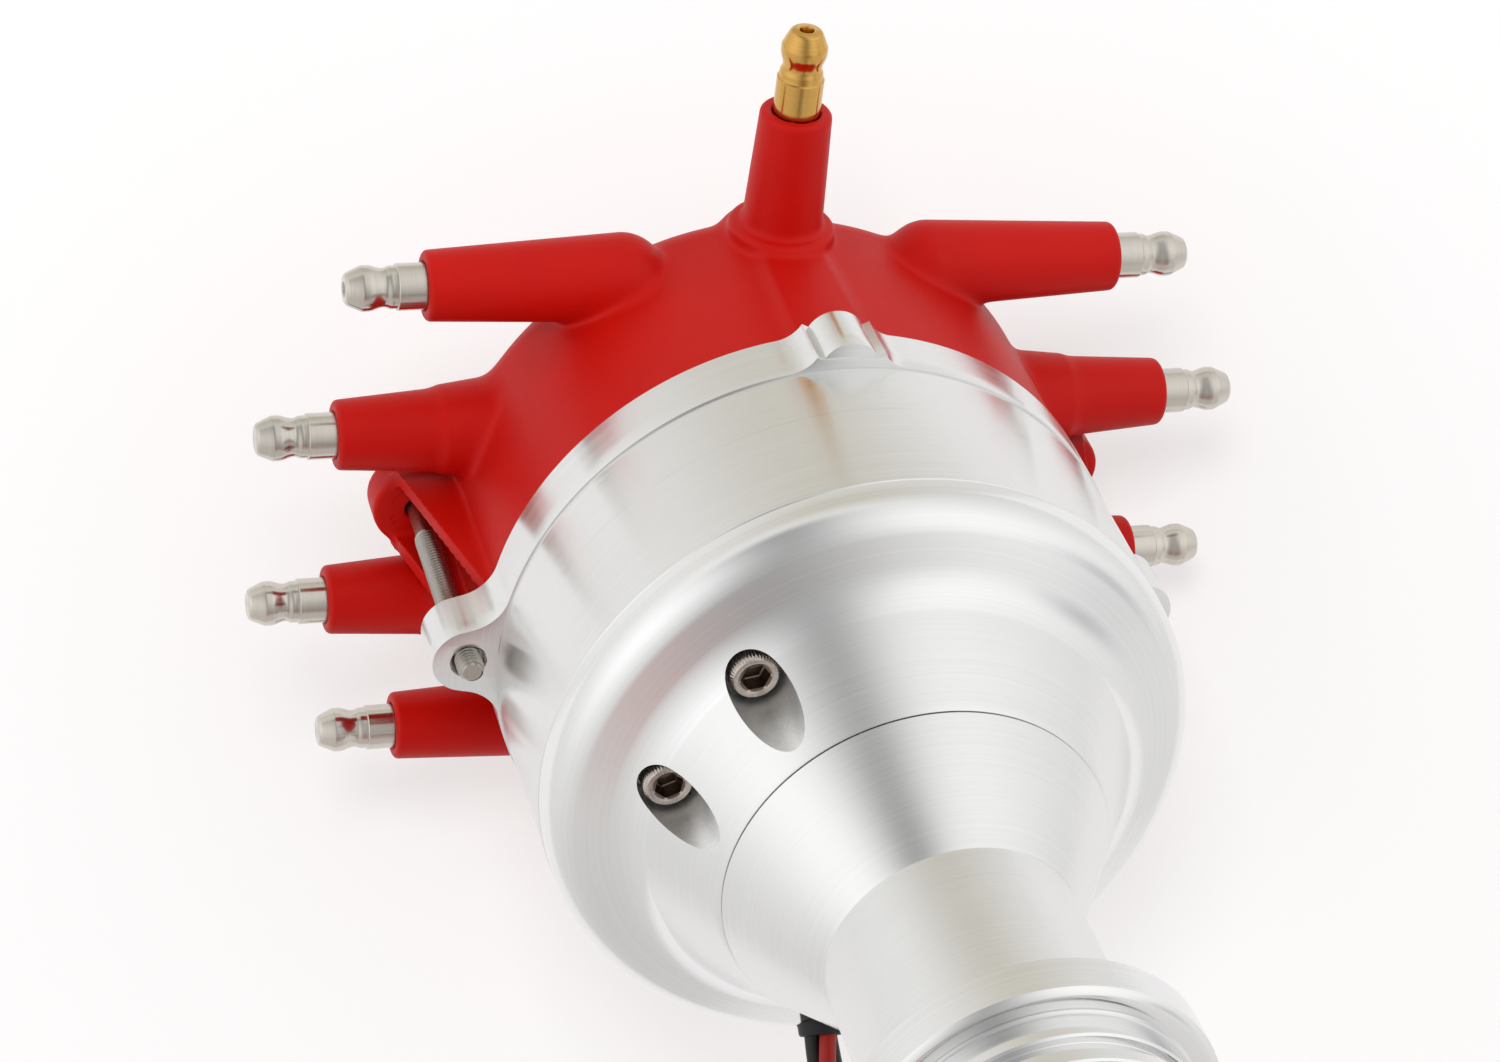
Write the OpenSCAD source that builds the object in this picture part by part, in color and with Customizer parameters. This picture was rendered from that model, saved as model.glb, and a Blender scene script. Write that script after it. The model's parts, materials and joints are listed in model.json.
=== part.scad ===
// Ignition distributor with a low radial cap: eight plug towers in two parallel rows and one
// coil tower, a machined housing in two pieces, a centrifugal advance, a magnetic trigger, and
// a wire lead. Millimetres, +Z up towards the cap, origin on the shaft axis at the seat collar.

/* [Housing] */
// Outer radius of the bowl's cylindrical band
band_r = 57; // [54:0.5:62]
// Height of the seam between cap and bowl above the seat
bowl_top_z = 140.2; // [135:0.5:150]
// Height of the bowl's flat underside above the seat
bowl_floor_z = 85.7; // [80:0.5:90]
// Wall of the bowl beside its hollow
bowl_wall = 5.5; // [4:0.5:7]
// Thickness of the bowl's floor
bowl_floor_t = 6.3; // [5.5:0.1:8]
// Radius that rounds the bowl's lower edge
shoulder_r = 7; // [5:0.5:8]
// Radius of the fillet between the flat underside and the cone
cove_r = 6; // [4:0.5:7]
// Thickness of the flange under the cap
flange_t = 10.7; // [8:0.1:12]
// How far the flange stands proud of the band
flange_step = 0.35; // [0.2:0.05:0.8]
// Height of the fine turned step above the bowl's underside
band_line_z = 10.2; // [9:0.1:14]
// Half angle of the cone
cone_angle = 30; // [28:1:32]
// Height of the seam between the two housing pieces above the seat
seam_z = 64.3; // [62:0.1:68]
// Radius of the neck under the cone
neck_r = 21.7; // [20:0.1:24]
// Top of the neck above the seat
neck_top_z = 43.9; // [40:0.1:48]
// Radius of the seat collar
collar_r = 30.2; // [29:0.1:33]
// Thickness of the seat collar
collar_t = 8; // [6:0.5:10]
// Radius of the pilot that enters the engine
pilot_r = 26; // [25:0.1:28]
// Length of the pilot with its two ring grooves
pilot_len = 16; // [14:0.5:20]
// Radius of the shank below the pilot
shank_r = 15.8; // [14:0.1:18]
// Depth of the shank's lower end below the seat
shank_len = 75; // [66:0.5:85]

/* [Ears and cap screws] */
// Distance of each cap screw from the axis
screw_x = 62.2; // [61:0.1:66]
// Radius of an ear's nose
ear_r = 7.5; // [6.5:0.1:8.5]
// Radius of the cap screw's thread
screw_r = 2.4; // [2:0.1:2.6]
// Radius of the cap screw's reduced shank
screw_neck_r = 1.8; // [1.5:0.1:1.9]
// How far a cap screw comes out under its ear
screw_out = 3.4; // [1:0.1:5]
// Reach of the front lobe from the axis
lobe_reach = 62; // [60:0.5:66]
// Radius of the front lobe's nose
lobe_r = 6; // [5:0.5:7]

/* [Cap] */
// Outer radius of the cap's wall
cap_r = 56.6; // [54:0.1:61]
// Wall thickness of the cap
cap_wall = 4; // [3.5:0.1:5]
// Height of the cap above the seam
cap_h = 46; // [44:0.5:50]
// Radius that rounds the cap's upper edge
cap_round = 9; // [6:0.5:10]
// Height of the tower axes above the seam
tower_z = 34.6; // [33:0.1:36]
// Radius of a tower at its tip
tower_tip_r = 6.3; // [5.5:0.1:7]
// Radius of a tower at its root
tower_root_r = 8; // [7.5:0.1:8.5]
// Reach of the four outer plug towers from the middle plane
outer_reach = 64.4; // [62:0.1:70]
// Reach of the four inner plug towers from the middle plane
inner_reach = 78.8; // [76:0.1:84]
// Distance of the outer towers from the middle plane
outer_y = 48.8; // [48:0.1:49.6]
// Distance of the inner towers from the middle plane
inner_y = 18.2; // [17.4:0.1:19]
// Reach of the coil tower
coil_reach = 81.6; // [78:0.1:86]
// Height of the screw lugs above the seam
lug_z = 36; // [34:0.5:38]
// Thickness of the screw lugs
lug_t = 7; // [5:0.5:8]

/* [Terminals] */
// Radius of a terminal's base
post_r = 4.2; // [3.8:0.1:4.6]
// Length of a plug terminal outside its tower
post_len = 14.2; // [13:0.1:16]
// Radius of a terminal's bulb
bulb_r = 4.1; // [3.7:0.1:4.5]
// Length of the coil terminal outside its tower
coil_post_len = 15.9; // [14:0.1:17]
// Radius of the rods moulded in the towers
rod_r = 2; // [1.5:0.1:2.4]
// Radius of the circle that the inner faces of the electrodes lie on
electrode_r = 47; // [46.6:0.1:47.4]

/* [Drive] */
// Radius of the drive shaft
shaft_r = 6.35; // [6:0.05:6.8]
// Number of teeth on the drive gear
gear_teeth = 13; // [11:1:15]
// Tip radius of the drive gear
gear_tip_r = 15.4; // [14:0.1:17]
// Depth of the gear's teeth
tooth_depth = 3.6; // [3:0.1:4.2]
// Face width of the drive gear
gear_w = 22; // [18:0.5:26]
// Helix angle of the drive gear's teeth
helix_angle = 30; // [20:1:35]
// How far the shaft comes out below the gear
shaft_out = 3; // [2:0.5:6]
// Width of the slot in the shaft's end
tang_w = 4.8; // [4.4:0.1:5.4]
// Outer radius of the upper ball bearing
bearing_r = 14.3; // [13.8:0.1:15]
// Width of the upper ball bearing
bearing_w = 8; // [7:0.5:9]
// Number of balls in the upper bearing
ball_count = 8; // [7:1:9]
// Radial running clearance of every turning or sliding fit
fit_gap = 0.03; // [0.02:0.01:0.06]
// End float between turning faces
end_float = 0.2; // [0.1:0.05:0.3]

/* [Advance and rotor] */
// Radius of the circle that the weight pivots lie on
pivot_r = 22; // [21.8:0.1:22.4]
// Thickness of an advance weight
weight_t = 6; // [5:0.5:6.5]
// Most advance of the rotor on the drive shaft, in shaft degrees
advance_max = 10; // [6:1:10]
// Radius of the trigger wheel's tips
reluctor_r = 21; // [20:0.5:22]
// Air gap between the trigger wheel and the pickup
air_gap = 0.6; // [0.3:0.1:1]
// Gap between the rotor blade and the electrodes
spark_gap = 0.8; // [0.6:0.1:1.2]
// Radius of the carbon brush
brush_r = 2.4; // [2:0.1:2.8]

/* [Lead] */
// Diameter of the wire lead
lead_d = 6.8; // [6:0.1:7.2]
// Angle of the lead's exit from the middle plane
lead_turn = 3; // [0:0.5:6]

/* [Hidden] */
$fn = 72;
eps = 0.01;
// Hollow of the bowl
bowl_in_r = band_r - bowl_wall;
floor_z = bowl_floor_z + bowl_floor_t;
line_z = bowl_floor_z + band_line_z;
flange_r = band_r + flange_step;
flange_z = bowl_top_z - flange_t;
// Cone, given by its radius at the neck and its half angle
cone_k = tan(cone_angle);
seam_r = neck_r + (seam_z - neck_top_z) * cone_k;
cone_top_r = seam_r + (bowl_floor_z - seam_z) * cone_k;
spigot_r = bearing_r + 9.5;
// Pockets of the module screws
module_screw_r = 40;
module_screw_angles = [-131.7, -167.5];
pocket_r = 5.3;
socket_head_r = 3.96;
socket_head_h = 4.8;
pocket_z = bowl_floor_z + 0.8;
module_h = 14;
// Ring grooves of the pilot
groove_first = 5;
groove_w = 2.8;
groove_pitch = 5.6;
groove_depth = 1.6;
// Bearings
race_t = 2.4;
ball_r = (bearing_r - shaft_r - 0.4) / 3.4;
ball_pitch_r = (bearing_r + shaft_r) / 2;
bearing_z = floor_z - bearing_w;
bushing_r = shaft_r + 3.2;
bushing_len = 38;
washer_t = 1.5;
// Gear
gear_top_z = -shank_len - washer_t - end_float;
gear_root_r = gear_tip_r - tooth_depth;
pitch_r = gear_tip_r - tooth_depth / 2;
gear_twist = gear_w * tan(helix_angle) / pitch_r * 180 / PI;
gear_slices = 14;
shaft_end_z = gear_top_z - gear_w - shaft_out;
tang_depth = 7;
pin_r = 2.4;
// Advance stack, from the bearing up
sleeve_z = floor_z + washer_t + end_float;
sleeve_r = shaft_r + 3;
plate_z = floor_z + 26;
plate_t = 3;
weight_z = plate_z + plate_t + end_float;
cam_t = weight_t - 1;
cam_core_r = 9.5;
cam_lobe_r = 4.5;
cam_lobe_at = 11.5;
cam_angle = 105;
heel_r = 2;
heel_at = [3.6, pivot_r - 8.4];
weight_lug_r = 5.6;
weight_in_r = pivot_r - 4.4;
weight_out_r = pivot_r + 9;
weight_from = 92;
weight_to = 166;
pivot_pin_r = 2.4;
pivot_pin_z = weight_z + weight_t + 4;
stop_r = 2.4;
stop_at = sleeve_r + stop_r + 0.45;
spring_z = weight_z + weight_t + 1.9;
spring_r = 1.4;
spring_post_at = 8.2;
spring_post_r = 1.2;
spring_eye = 2.5;
spring_post_angle = 150;
clip_t = 1;
shaft_top_z = weight_z + cam_t + clip_t + 0.6;
leg_at = pivot_r + 7;
leg_angle = 35;
leg_r = 5;
rotor_z = pivot_pin_z + 1.6;
rotor_web_t = 3;
rotor_r = electrode_r - 7;
blade_t = 1.5;
blade_z = bowl_top_z + 18;
blade_w = 7;
blade_tip_r = electrode_r - spark_gap;
contact_h = 4;
// Trigger
reluctor_z = sleeve_z + 3.5;
reluctor_t = 8;
reluctor_hub_r = sleeve_r + 4;
pickup_angle = 45;
pickup_z = reluctor_z + reluctor_t / 2;
bobbin_r = 7;
bobbin_from = reluctor_r + air_gap + 5;
bobbin_len = 11;
bracket_t = pickup_z - bobbin_r - floor_z;
pickup_screw_r = 1.6;
// Cap
tower_axis_z = bowl_top_z + tower_z;
cap_top_z = bowl_top_z + cap_h;
roof_t = 8;
lip_gap = 0.15;
lip_t = 2.6;
lip_h = 3;
lug_r = 8.2;
lug_bottom_z = bowl_top_z + lug_z;
lug_top_z = lug_bottom_z + lug_t;
screw_recess_r = 4.6;
ridge_r = 10.5;
ridge_z = tower_axis_z + 3;
hub_r = 17;
brush_hub_r = 7.5;
socket_depth = 3;
electrode_t = 3.2;
electrode_w = 7;
electrode_low_z = blade_z - 3;
electrode_top_z = tower_axis_z + rod_r + 1.5;
rib_w = 10;
brush_z = blade_z + blade_t + contact_h + 0.2;
brush_len = 8;
brush_spring_len = 6;
brush_top_z = brush_z + brush_len + brush_spring_len;
// Cap screws
screw_end_z = flange_z - screw_out;
screw_neck_z = lug_bottom_z - 9;
screw_head_r = 4.4;
screw_head_h = 3.6;
// Lead: where it leaves the shoulder, and its chosen route
exit_tilt = 45;
spot_r = 5.6;
spot_depth = 1.4;
grommet_out = 1.2;
shoulder_at_r = band_r - shoulder_r;
shoulder_at_z = bowl_floor_z + shoulder_r;
lead_sides = 10;
lead_bow = 9;
hank_x = -3;
hank_y = band_r + 9.5;
hank_top_z = 62;
exit_out = grommet_out + shoulder_r;
exit_r = shoulder_at_r - 0.15 + exit_out * cos(exit_tilt);
exit_dir = [-sin(lead_turn) * cos(exit_tilt), cos(lead_turn) * cos(exit_tilt), -sin(exit_tilt)];
lead_from = [-sin(lead_turn) * exit_r, cos(lead_turn) * exit_r, shoulder_at_z - exit_out * sin(exit_tilt)];
lead_to = [hank_x, hank_y, hank_top_z + 0.2];
lead_bends = [lead_from + exit_dir, lead_from + (1 + lead_bow) * exit_dir,
              lead_to + [0, 0, lead_bow], lead_to];
lead_route = concat([lead_from], [for (i = [0:7]) bend_point(lead_bends, i / 7)]);
hank_len = 16.5 * lead_d;
hank_fold_r = 3.1 * lead_d;
hank_half_w = hank_fold_r + lead_d / 2;
hank_layers = 2;
tie_t = 1.2;
tie_w = 6;
tie_gap = 0.15;
plug_size = [15, 12, 26];
plug_gap = 0.2;

// A solid turned about the X axis direction given by side, starting at x
module along_x(side) {
    rotate([0, 90 * side, 0]) children();
}

// Flat ring
module ring(r_out, r_in, h) {
    difference() {
        cylinder(r = r_out, h = h);
        translate([0, 0, -1]) cylinder(r = r_in, h = h + 2);
    }
}

// Sector of a ring between two angles under 180 degrees apart
module ring_sector(r_out, r_in, h, from, to) {
    rotate([0, 0, from])
        rotate_extrude(angle = to - from)
            translate([r_in, 0]) square([r_out - r_in, h]);
}

// Half profile of the bowl's outside, from the flange down to the seam
module bowl_outline() {
    difference() {
        union() {
            translate([0, line_z]) square([band_r, flange_z - line_z]);
            translate([0, flange_z]) square([flange_r, flange_t]);
            translate([0, shoulder_at_z]) square([band_r - 0.15, line_z - shoulder_at_z]);
            translate([shoulder_at_r - 0.15, shoulder_at_z]) circle(r = shoulder_r);
            translate([0, bowl_floor_z]) square([shoulder_at_r - 0.15, shoulder_r + 1]);
            polygon([[0, seam_z], [seam_r, seam_z], [cone_top_r, bowl_floor_z],
                     [cone_top_r, bowl_floor_z + 1], [0, bowl_floor_z + 1]]);
            cove_web();
        }
        cove_cut();
    }
}

// Point where the cove's arc meets the cone, and the arc's middle
cove_mid_z = bowl_floor_z - cove_r;
cove_mid_r = seam_r + (cove_mid_z - seam_z) * cone_k + cove_r / cos(cone_angle);
cove_end_r = cove_mid_r - cove_r * cos(cone_angle);
cove_end_z = cove_mid_z + cove_r * sin(cone_angle);

// Metal that fills the corner between underside and cone
module cove_web() {
    polygon([[cove_end_r - 2, cove_end_z - 2 / cone_k], [cove_end_r, cove_end_z],
             [cove_mid_r, bowl_floor_z], [cove_mid_r, bowl_floor_z + 1],
             [cove_end_r - 2, bowl_floor_z + 1]]);
}

// Round cove taken out of that corner
module cove_cut() {
    translate([cove_mid_r, cove_mid_z]) circle(r = cove_r);
}

// Ear around a cap screw, with concave blends into the flange
module ear(side) {
    blend_r = 5;
    blend_x = sqrt(pow(flange_r + blend_r, 2) - pow(ear_r + blend_r - 0.5, 2));
    translate([0, 0, flange_z]) linear_extrude(flange_t) difference() {
        union() {
            translate([side * screw_x, 0]) circle(r = ear_r);
            translate([side * (screw_x + flange_r - 12) / 2, 0])
                square([screw_x - flange_r + 12, 2 * ear_r - 1], center = true);
            for (s = [-1, 1])
                translate([side * (blend_x - 3), s * (ear_r - 0.5)])
                    square([6.4, 2 * blend_r - 2], center = true);
        }
        for (s = [-1, 1])
            translate([side * blend_x, s * (ear_r + blend_r - 0.5)]) circle(r = blend_r);
    }
}

// Lobe on the front of the flange, under the coil tower
module front_lobe() {
    blend_r = 6;
    at_y = lobe_reach - lobe_r;
    blend_x = lobe_r + blend_r - 2.2;
    blend_y = sqrt(pow(flange_r + blend_r, 2) - pow(blend_x, 2));
    translate([0, 0, flange_z]) linear_extrude(flange_t) difference() {
        union() {
            translate([0, -at_y]) circle(r = lobe_r);
            translate([0, -(blend_y - 5)])
                square([2 * blend_x - 2, 9], center = true);
        }
        for (s = [-1, 1])
            translate([s * blend_x, -blend_y]) circle(r = blend_r);
    }
}

// Places its children at the lead's exit, with +Z along the lead
module at_exit() {
    rotate([0, 0, lead_turn])
        translate([0, shoulder_at_r - 0.15, shoulder_at_z])
            rotate([-90 - exit_tilt, 0, 0])
                translate([0, 0, shoulder_r])
                    children();
}

module bowl_housing() color([0.86, 0.87, 0.88]) {
    difference() {
        union() {
            rotate_extrude() bowl_outline();
            ear(1);
            ear(-1);
            front_lobe();
        }
        translate([0, 0, floor_z]) cylinder(r = bowl_in_r, h = bowl_top_z);
        translate([0, 0, seam_z - 1]) cylinder(r = spigot_r, h = bowl_top_z);
        for (s = [-1, 1])
            translate([s * screw_x, 0, flange_z - 1]) cylinder(r = screw_r + fit_gap, h = flange_t + 2);
        for (a = module_screw_angles) rotate([0, 0, a]) translate([module_screw_r, 0, 0]) {
            translate([0, 0, seam_z]) cylinder(r = pocket_r, h = pocket_z - seam_z);
            translate([0, 0, seam_z]) cylinder(r = screw_r + 0.2, h = bowl_top_z);
        }
        pickup_screw_places() translate([0, 0, -4]) cylinder(r = pickup_screw_r, h = 10);
        at_exit() {
            translate([0, 0, -spot_depth]) cylinder(r = spot_r, h = 20);
            translate([0, 0, -20]) cylinder(r = lead_d / 2 + 1, h = 30);
        }
    }
}

// Half profile of the lower housing's outside
module shank_outline() {
    groove_z = [for (i = [0:1]) -groove_first - i * groove_pitch];
    difference() {
        union() {
            polygon([[0, seam_z], [seam_r, seam_z], [neck_r, neck_top_z], [0, neck_top_z]]);
            translate([0, 0]) square([neck_r, neck_top_z + 1]);
            polygon([[0, 0], [collar_r - 1, 0], [collar_r, 1], [collar_r, collar_t - 0.5],
                     [collar_r - 0.5, collar_t], [0, collar_t]]);
            translate([0, -pilot_len]) square([pilot_r, pilot_len + 1]);
            polygon([[0, -pilot_len], [pilot_r - 1.2, -pilot_len],
                     [shank_r, -pilot_len - 7], [0, -pilot_len - 7]]);
            translate([0, -shank_len + 1]) square([shank_r, shank_len - pilot_len]);
            polygon([[0, -shank_len], [shank_r - 1, -shank_len],
                     [shank_r, -shank_len + 1], [0, -shank_len + 1]]);
        }
        for (z = groove_z)
            translate([pilot_r - groove_depth, z - groove_w]) square([10, groove_w]);
    }
}

module shank_housing() color([0.86, 0.87, 0.88]) {
    difference() {
        union() {
            rotate_extrude() shank_outline();
            translate([0, 0, seam_z - 1]) cylinder(r = spigot_r, h = floor_z - seam_z + 1);
        }
        translate([0, 0, -shank_len - 1]) cylinder(r = shaft_r + 1, h = shank_len + floor_z + 2);
        translate([0, 0, -shank_len - 1]) cylinder(r = bushing_r, h = bushing_len + 1);
        translate([0, 0, bearing_z]) cylinder(r = bearing_r, h = bearing_w + 1);
    }
}

// Groove that the balls run in, as a ring of round section
module ball_track() {
    rotate_extrude() translate([ball_pitch_r, 0]) circle(r = ball_r + fit_gap);
}

module bearing_outer_race() color([0.7, 0.71, 0.73]) {
    translate([0, 0, bearing_z]) difference() {
        ring(bearing_r, bearing_r - race_t, bearing_w);
        translate([0, 0, bearing_w / 2]) ball_track();
    }
}

module bearing_inner_race() color([0.7, 0.71, 0.73]) {
    translate([0, 0, bearing_z]) difference() {
        ring(shaft_r + race_t, shaft_r, bearing_w);
        translate([0, 0, bearing_w / 2]) ball_track();
    }
}

module bearing_balls() color([0.6, 0.6, 0.62]) {
    cage_w = 1.6;
    translate([0, 0, bearing_z + bearing_w / 2]) {
        for (i = [0:ball_count - 1])
            rotate([0, 0, i * 360 / ball_count]) translate([ball_pitch_r, 0, 0]) sphere(r = ball_r);
        translate([0, 0, -cage_w / 2]) ring(ball_pitch_r + 0.7, ball_pitch_r - 0.7, cage_w);
    }
}

module lower_bushing() color([0.72, 0.52, 0.3]) {
    translate([0, 0, -shank_len]) ring(bushing_r, shaft_r + fit_gap, bushing_len);
}

module drive_shaft() color([0.66, 0.67, 0.7]) {
    difference() {
        union() {
            translate([0, 0, shaft_end_z]) cylinder(r = shaft_r, h = shaft_top_z - shaft_end_z);
        }
        translate([-tang_w / 2, -shaft_r - 1, shaft_end_z - 1])
            cube([tang_w, 2 * shaft_r + 2, tang_depth + 1]);
        translate([0, 0, gear_top_z - 5]) rotate([0, 90, 0])
            cylinder(r = pin_r, h = 4 * shaft_r, center = true);
        translate([0, 0, weight_z + cam_t])
            ring(shaft_r + 2, shaft_r - 0.8, clip_t);
    }
}

// One point of the gear's outline: tooth number, share of the pitch, radius
function gear_point(i, s, r) = [r * cos((i + s) * 360 / gear_teeth), r * sin((i + s) * 360 / gear_teeth)];

module gear_outline() {
    flank = [[0.02, 0], [0.16, 0], [0.26, 0.5], [0.37, 1], [0.59, 1], [0.70, 0.5], [0.80, 0]];
    polygon([for (i = [0:gear_teeth - 1]) for (p = flank)
        gear_point(i, p[0], gear_root_r + p[1] * tooth_depth)]);
}

module drive_gear() color([0.36, 0.36, 0.38]) {
    hub_h = 8;
    difference() {
        union() {
            translate([0, 0, gear_top_z - gear_w])
                linear_extrude(gear_w - hub_h, twist = gear_twist * (gear_w - hub_h) / gear_w,
                               slices = gear_slices)
                    gear_outline();
            translate([0, 0, gear_top_z - hub_h - eps])
                cylinder(r = gear_root_r - 0.6, h = hub_h + eps);
        }
        translate([0, 0, gear_top_z - gear_w - 1]) cylinder(r = shaft_r, h = gear_w + 2);
        translate([0, 0, gear_top_z - 5]) rotate([0, 90, 0])
            cylinder(r = pin_r, h = 3 * gear_tip_r, center = true);
    }
}

module gear_pin() color([0.5, 0.5, 0.52]) {
    pin_len = 2 * (gear_root_r - 0.9);
    translate([0, 0, gear_top_z - 5]) rotate([0, 90, 0])
        difference() {
            cylinder(r = pin_r, h = pin_len, center = true);
            cylinder(r = pin_r - 0.9, h = pin_len + 1, center = true);
        }
}

module thrust_washer() color([0.72, 0.52, 0.3]) {
    translate([0, 0, gear_top_z]) ring(shank_r - 3, shaft_r, washer_t);
}

module shaft_washer() color([0.72, 0.52, 0.3]) {
    translate([0, 0, floor_z]) ring(shaft_r + 2.2, shaft_r, washer_t);
}

// Flat outline of the advance cam: a core and two lobes
module cam_outline() {
    circle(r = cam_core_r);
    for (a = [0, 180]) rotate(cam_angle + a) {
        translate([cam_lobe_at, 0]) circle(r = cam_lobe_r);
        translate([0, -cam_lobe_r]) square([cam_lobe_at, 2 * cam_lobe_r]);
    }
}

module advance_cam() color([0.55, 0.5, 0.42]) {
    translate([0, 0, weight_z]) difference() {
        linear_extrude(cam_t) cam_outline();
        translate([0, 0, -1]) cylinder(r = shaft_r, h = cam_t + 2);
    }
    for (a = [0, 180]) rotate([0, 0, spring_post_angle + a])
        translate([spring_post_at, 0, weight_z + cam_t - eps])
            cylinder(r = spring_post_r, h = spring_z + 1.6 - weight_z - cam_t);
    rotate([0, 0, cam_angle]) translate([stop_at, 0, plate_z + 0.3])
        cylinder(r = stop_r - 0.9, h = weight_z - plate_z - 0.3 + eps);
}

module cam_clip() color([0.3, 0.3, 0.32]) {
    translate([0, 0, weight_z + cam_t]) difference() {
        cylinder(r = shaft_r + 0.5, h = clip_t);
        translate([0, 0, -1]) cylinder(r = shaft_r - 0.8, h = clip_t + 2);
        translate([shaft_r - 2.5, -2, -1]) cube([10, 4, clip_t + 2]);
    }
}

module stop_bushing() color([0.2, 0.2, 0.22]) {
    rotate([0, 0, cam_angle]) translate([stop_at, 0, plate_z + 0.3])
        ring(stop_r, stop_r - 0.9, plate_t - 0.3);
}

module advance_base() color([0.7, 0.66, 0.5]) {
    difference() {
        union() {
            translate([0, 0, sleeve_z]) cylinder(r = sleeve_r, h = plate_z - sleeve_z + 1);
            translate([0, 0, plate_z]) linear_extrude(plate_t) plate_outline();
        }
        translate([0, 0, sleeve_z - 1]) cylinder(r = shaft_r + fit_gap, h = plate_z);
    }
}

// Outline of the base plate, with its holes and the curved slot that the stop bushing moves in
module plate_outline() {
    arm_r = 7.5;
    ear_w = 12;
    slot_r = stop_r + 0.12;
    difference() {
        union() {
            circle(r = 19);
            for (a = [0, 180]) rotate(a) {
                rotate(leg_angle) translate([leg_at, 0]) circle(r = arm_r);
                rotate(leg_angle) translate([12, 0.2 - arm_r]) square([leg_at - 12, 2 * arm_r - 0.4]);
                translate([0, pivot_r]) circle(r = ear_w / 2);
                translate([0.2 - ear_w / 2, 12]) square([ear_w - 0.4, pivot_r - 12]);
            }
        }
        for (a = [0, 180]) rotate(a) {
            translate([0, pivot_r]) circle(r = pivot_pin_r);
            rotate(leg_angle) translate([leg_at, 0]) circle(r = 1.6);
        }
        rotate(cam_angle) translate([stop_at, 0]) circle(r = slot_r);
        rotate(cam_angle + advance_max) translate([stop_at, 0]) circle(r = slot_r);
        rotate(cam_angle + advance_max / 2) translate([stop_at, 0])
            square([2 * slot_r - 0.1, 2 * stop_at * sin(advance_max / 2)], center = true);
    }
}

module weight_pivot_pins() color([0.6, 0.6, 0.63]) {
    for (a = [0, 180]) rotate([0, 0, a]) translate([0, pivot_r, plate_z]) {
        cylinder(r = pivot_pin_r, h = weight_z + weight_t - plate_z + 0.3);
        cylinder(r = pivot_pin_r - 0.8, h = pivot_pin_z - plate_z - 0.6);
        translate([0, 0, pivot_pin_z - plate_z - 1]) cylinder(r = pivot_pin_r - 0.2, h = 1);
    }
}

// Wedge between two angles under 180 degrees apart, to cut a sector with
module wedge(from, to) {
    polygon([[0, 0], [60 * cos(from), 60 * sin(from)], [90 * cos((from + to) / 2), 90 * sin((from + to) / 2)],
             [60 * cos(to), 60 * sin(to)]]);
}

// Outline of an advance weight: a crescent on a lug, with the heel that pushes the cam
module weight_outline() {
    heel_arm = [heel_at[0], heel_at[1] - pivot_r];
    difference() {
        union() {
            intersection() {
                difference() {
                    circle(r = weight_out_r);
                    circle(r = weight_in_r);
                }
                wedge(weight_from, weight_to);
            }
            translate([0, pivot_r]) circle(r = weight_lug_r);
            translate(heel_at) circle(r = heel_r);
            translate([0, pivot_r]) rotate(atan2(heel_arm[1], heel_arm[0])) translate([0, 0.15 - heel_r])
                square([norm(heel_arm), 2 * heel_r - 0.3]);
            rotate(weight_to) translate([(weight_in_r + weight_out_r) / 2, 0])
                circle(r = (weight_out_r - weight_in_r) / 2 - 0.15);
        }
        translate([0, pivot_r]) circle(r = pivot_pin_r + fit_gap);
    }
}

module advance_weight() {
    translate([0, 0, weight_z]) linear_extrude(weight_t) weight_outline();
}

module weight_a() color([0.5, 0.47, 0.4]) advance_weight();

module weight_b() color([0.5, 0.47, 0.4]) rotate([0, 0, 180]) advance_weight();

// Coil of an advance spring between its pivot pin and the cam's post, as a plain rod. The loop
// around the post is long enough for the post's whole travel
module advance_spring() {
    post = [spring_post_at * cos(spring_post_angle), spring_post_at * sin(spring_post_angle)];
    span = [post[0], post[1] - pivot_r];
    travel = 2 * spring_post_at * sin(advance_max / 2);
    translate([0, pivot_r, spring_z]) rotate([0, 0, atan2(span[1], span[0])]) {
        translate([spring_eye - 0.3, 0, 0]) rotate([0, 90, 0])
            cylinder(r = spring_r, h = norm(span) - 2 * spring_eye + 0.6);
        translate([0, 0, -0.3]) ring(spring_eye, pivot_pin_r - 0.7, 0.6);
        translate([norm(span), 0, -0.3]) linear_extrude(0.6) difference() {
            loop_outline(spring_eye, travel);
            loop_outline(spring_post_r + 0.3, travel);
        }
    }
}

// Long hole or its rim: a round end at the origin and one a given way along X
module loop_outline(r, length) {
    circle(r = r);
    translate([length, 0]) circle(r = r);
    translate([0, 0.05 - r]) square([length, 2 * r - 0.1]);
}

module advance_spring_a() color([0.75, 0.75, 0.78]) advance_spring();

module advance_spring_b() color([0.75, 0.75, 0.78]) rotate([0, 0, 180]) advance_spring();

module reluctor() color([0.4, 0.4, 0.42]) {
    translate([0, 0, reluctor_z]) difference() {
        union() {
            cylinder(r = reluctor_hub_r, h = reluctor_t);
            intersection() {
                cylinder(r = reluctor_r, h = reluctor_t);
                for (i = [0:3]) rotate([0, 0, i * 45])
                    translate([-reluctor_r - 1, -1.5, 0]) cube([2 * reluctor_r + 2, 3, reluctor_t]);
            }
        }
        translate([0, 0, -1]) cylinder(r = sleeve_r, h = reluctor_t + 2);
    }
}

// Places its children at both pickup screws, on the bowl's floor
module pickup_screw_places() {
    for (s = [-1, 1]) rotate([0, 0, pickup_angle])
        translate([bobbin_from + 8, s * (bobbin_r + 2.6), floor_z]) children();
}

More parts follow.
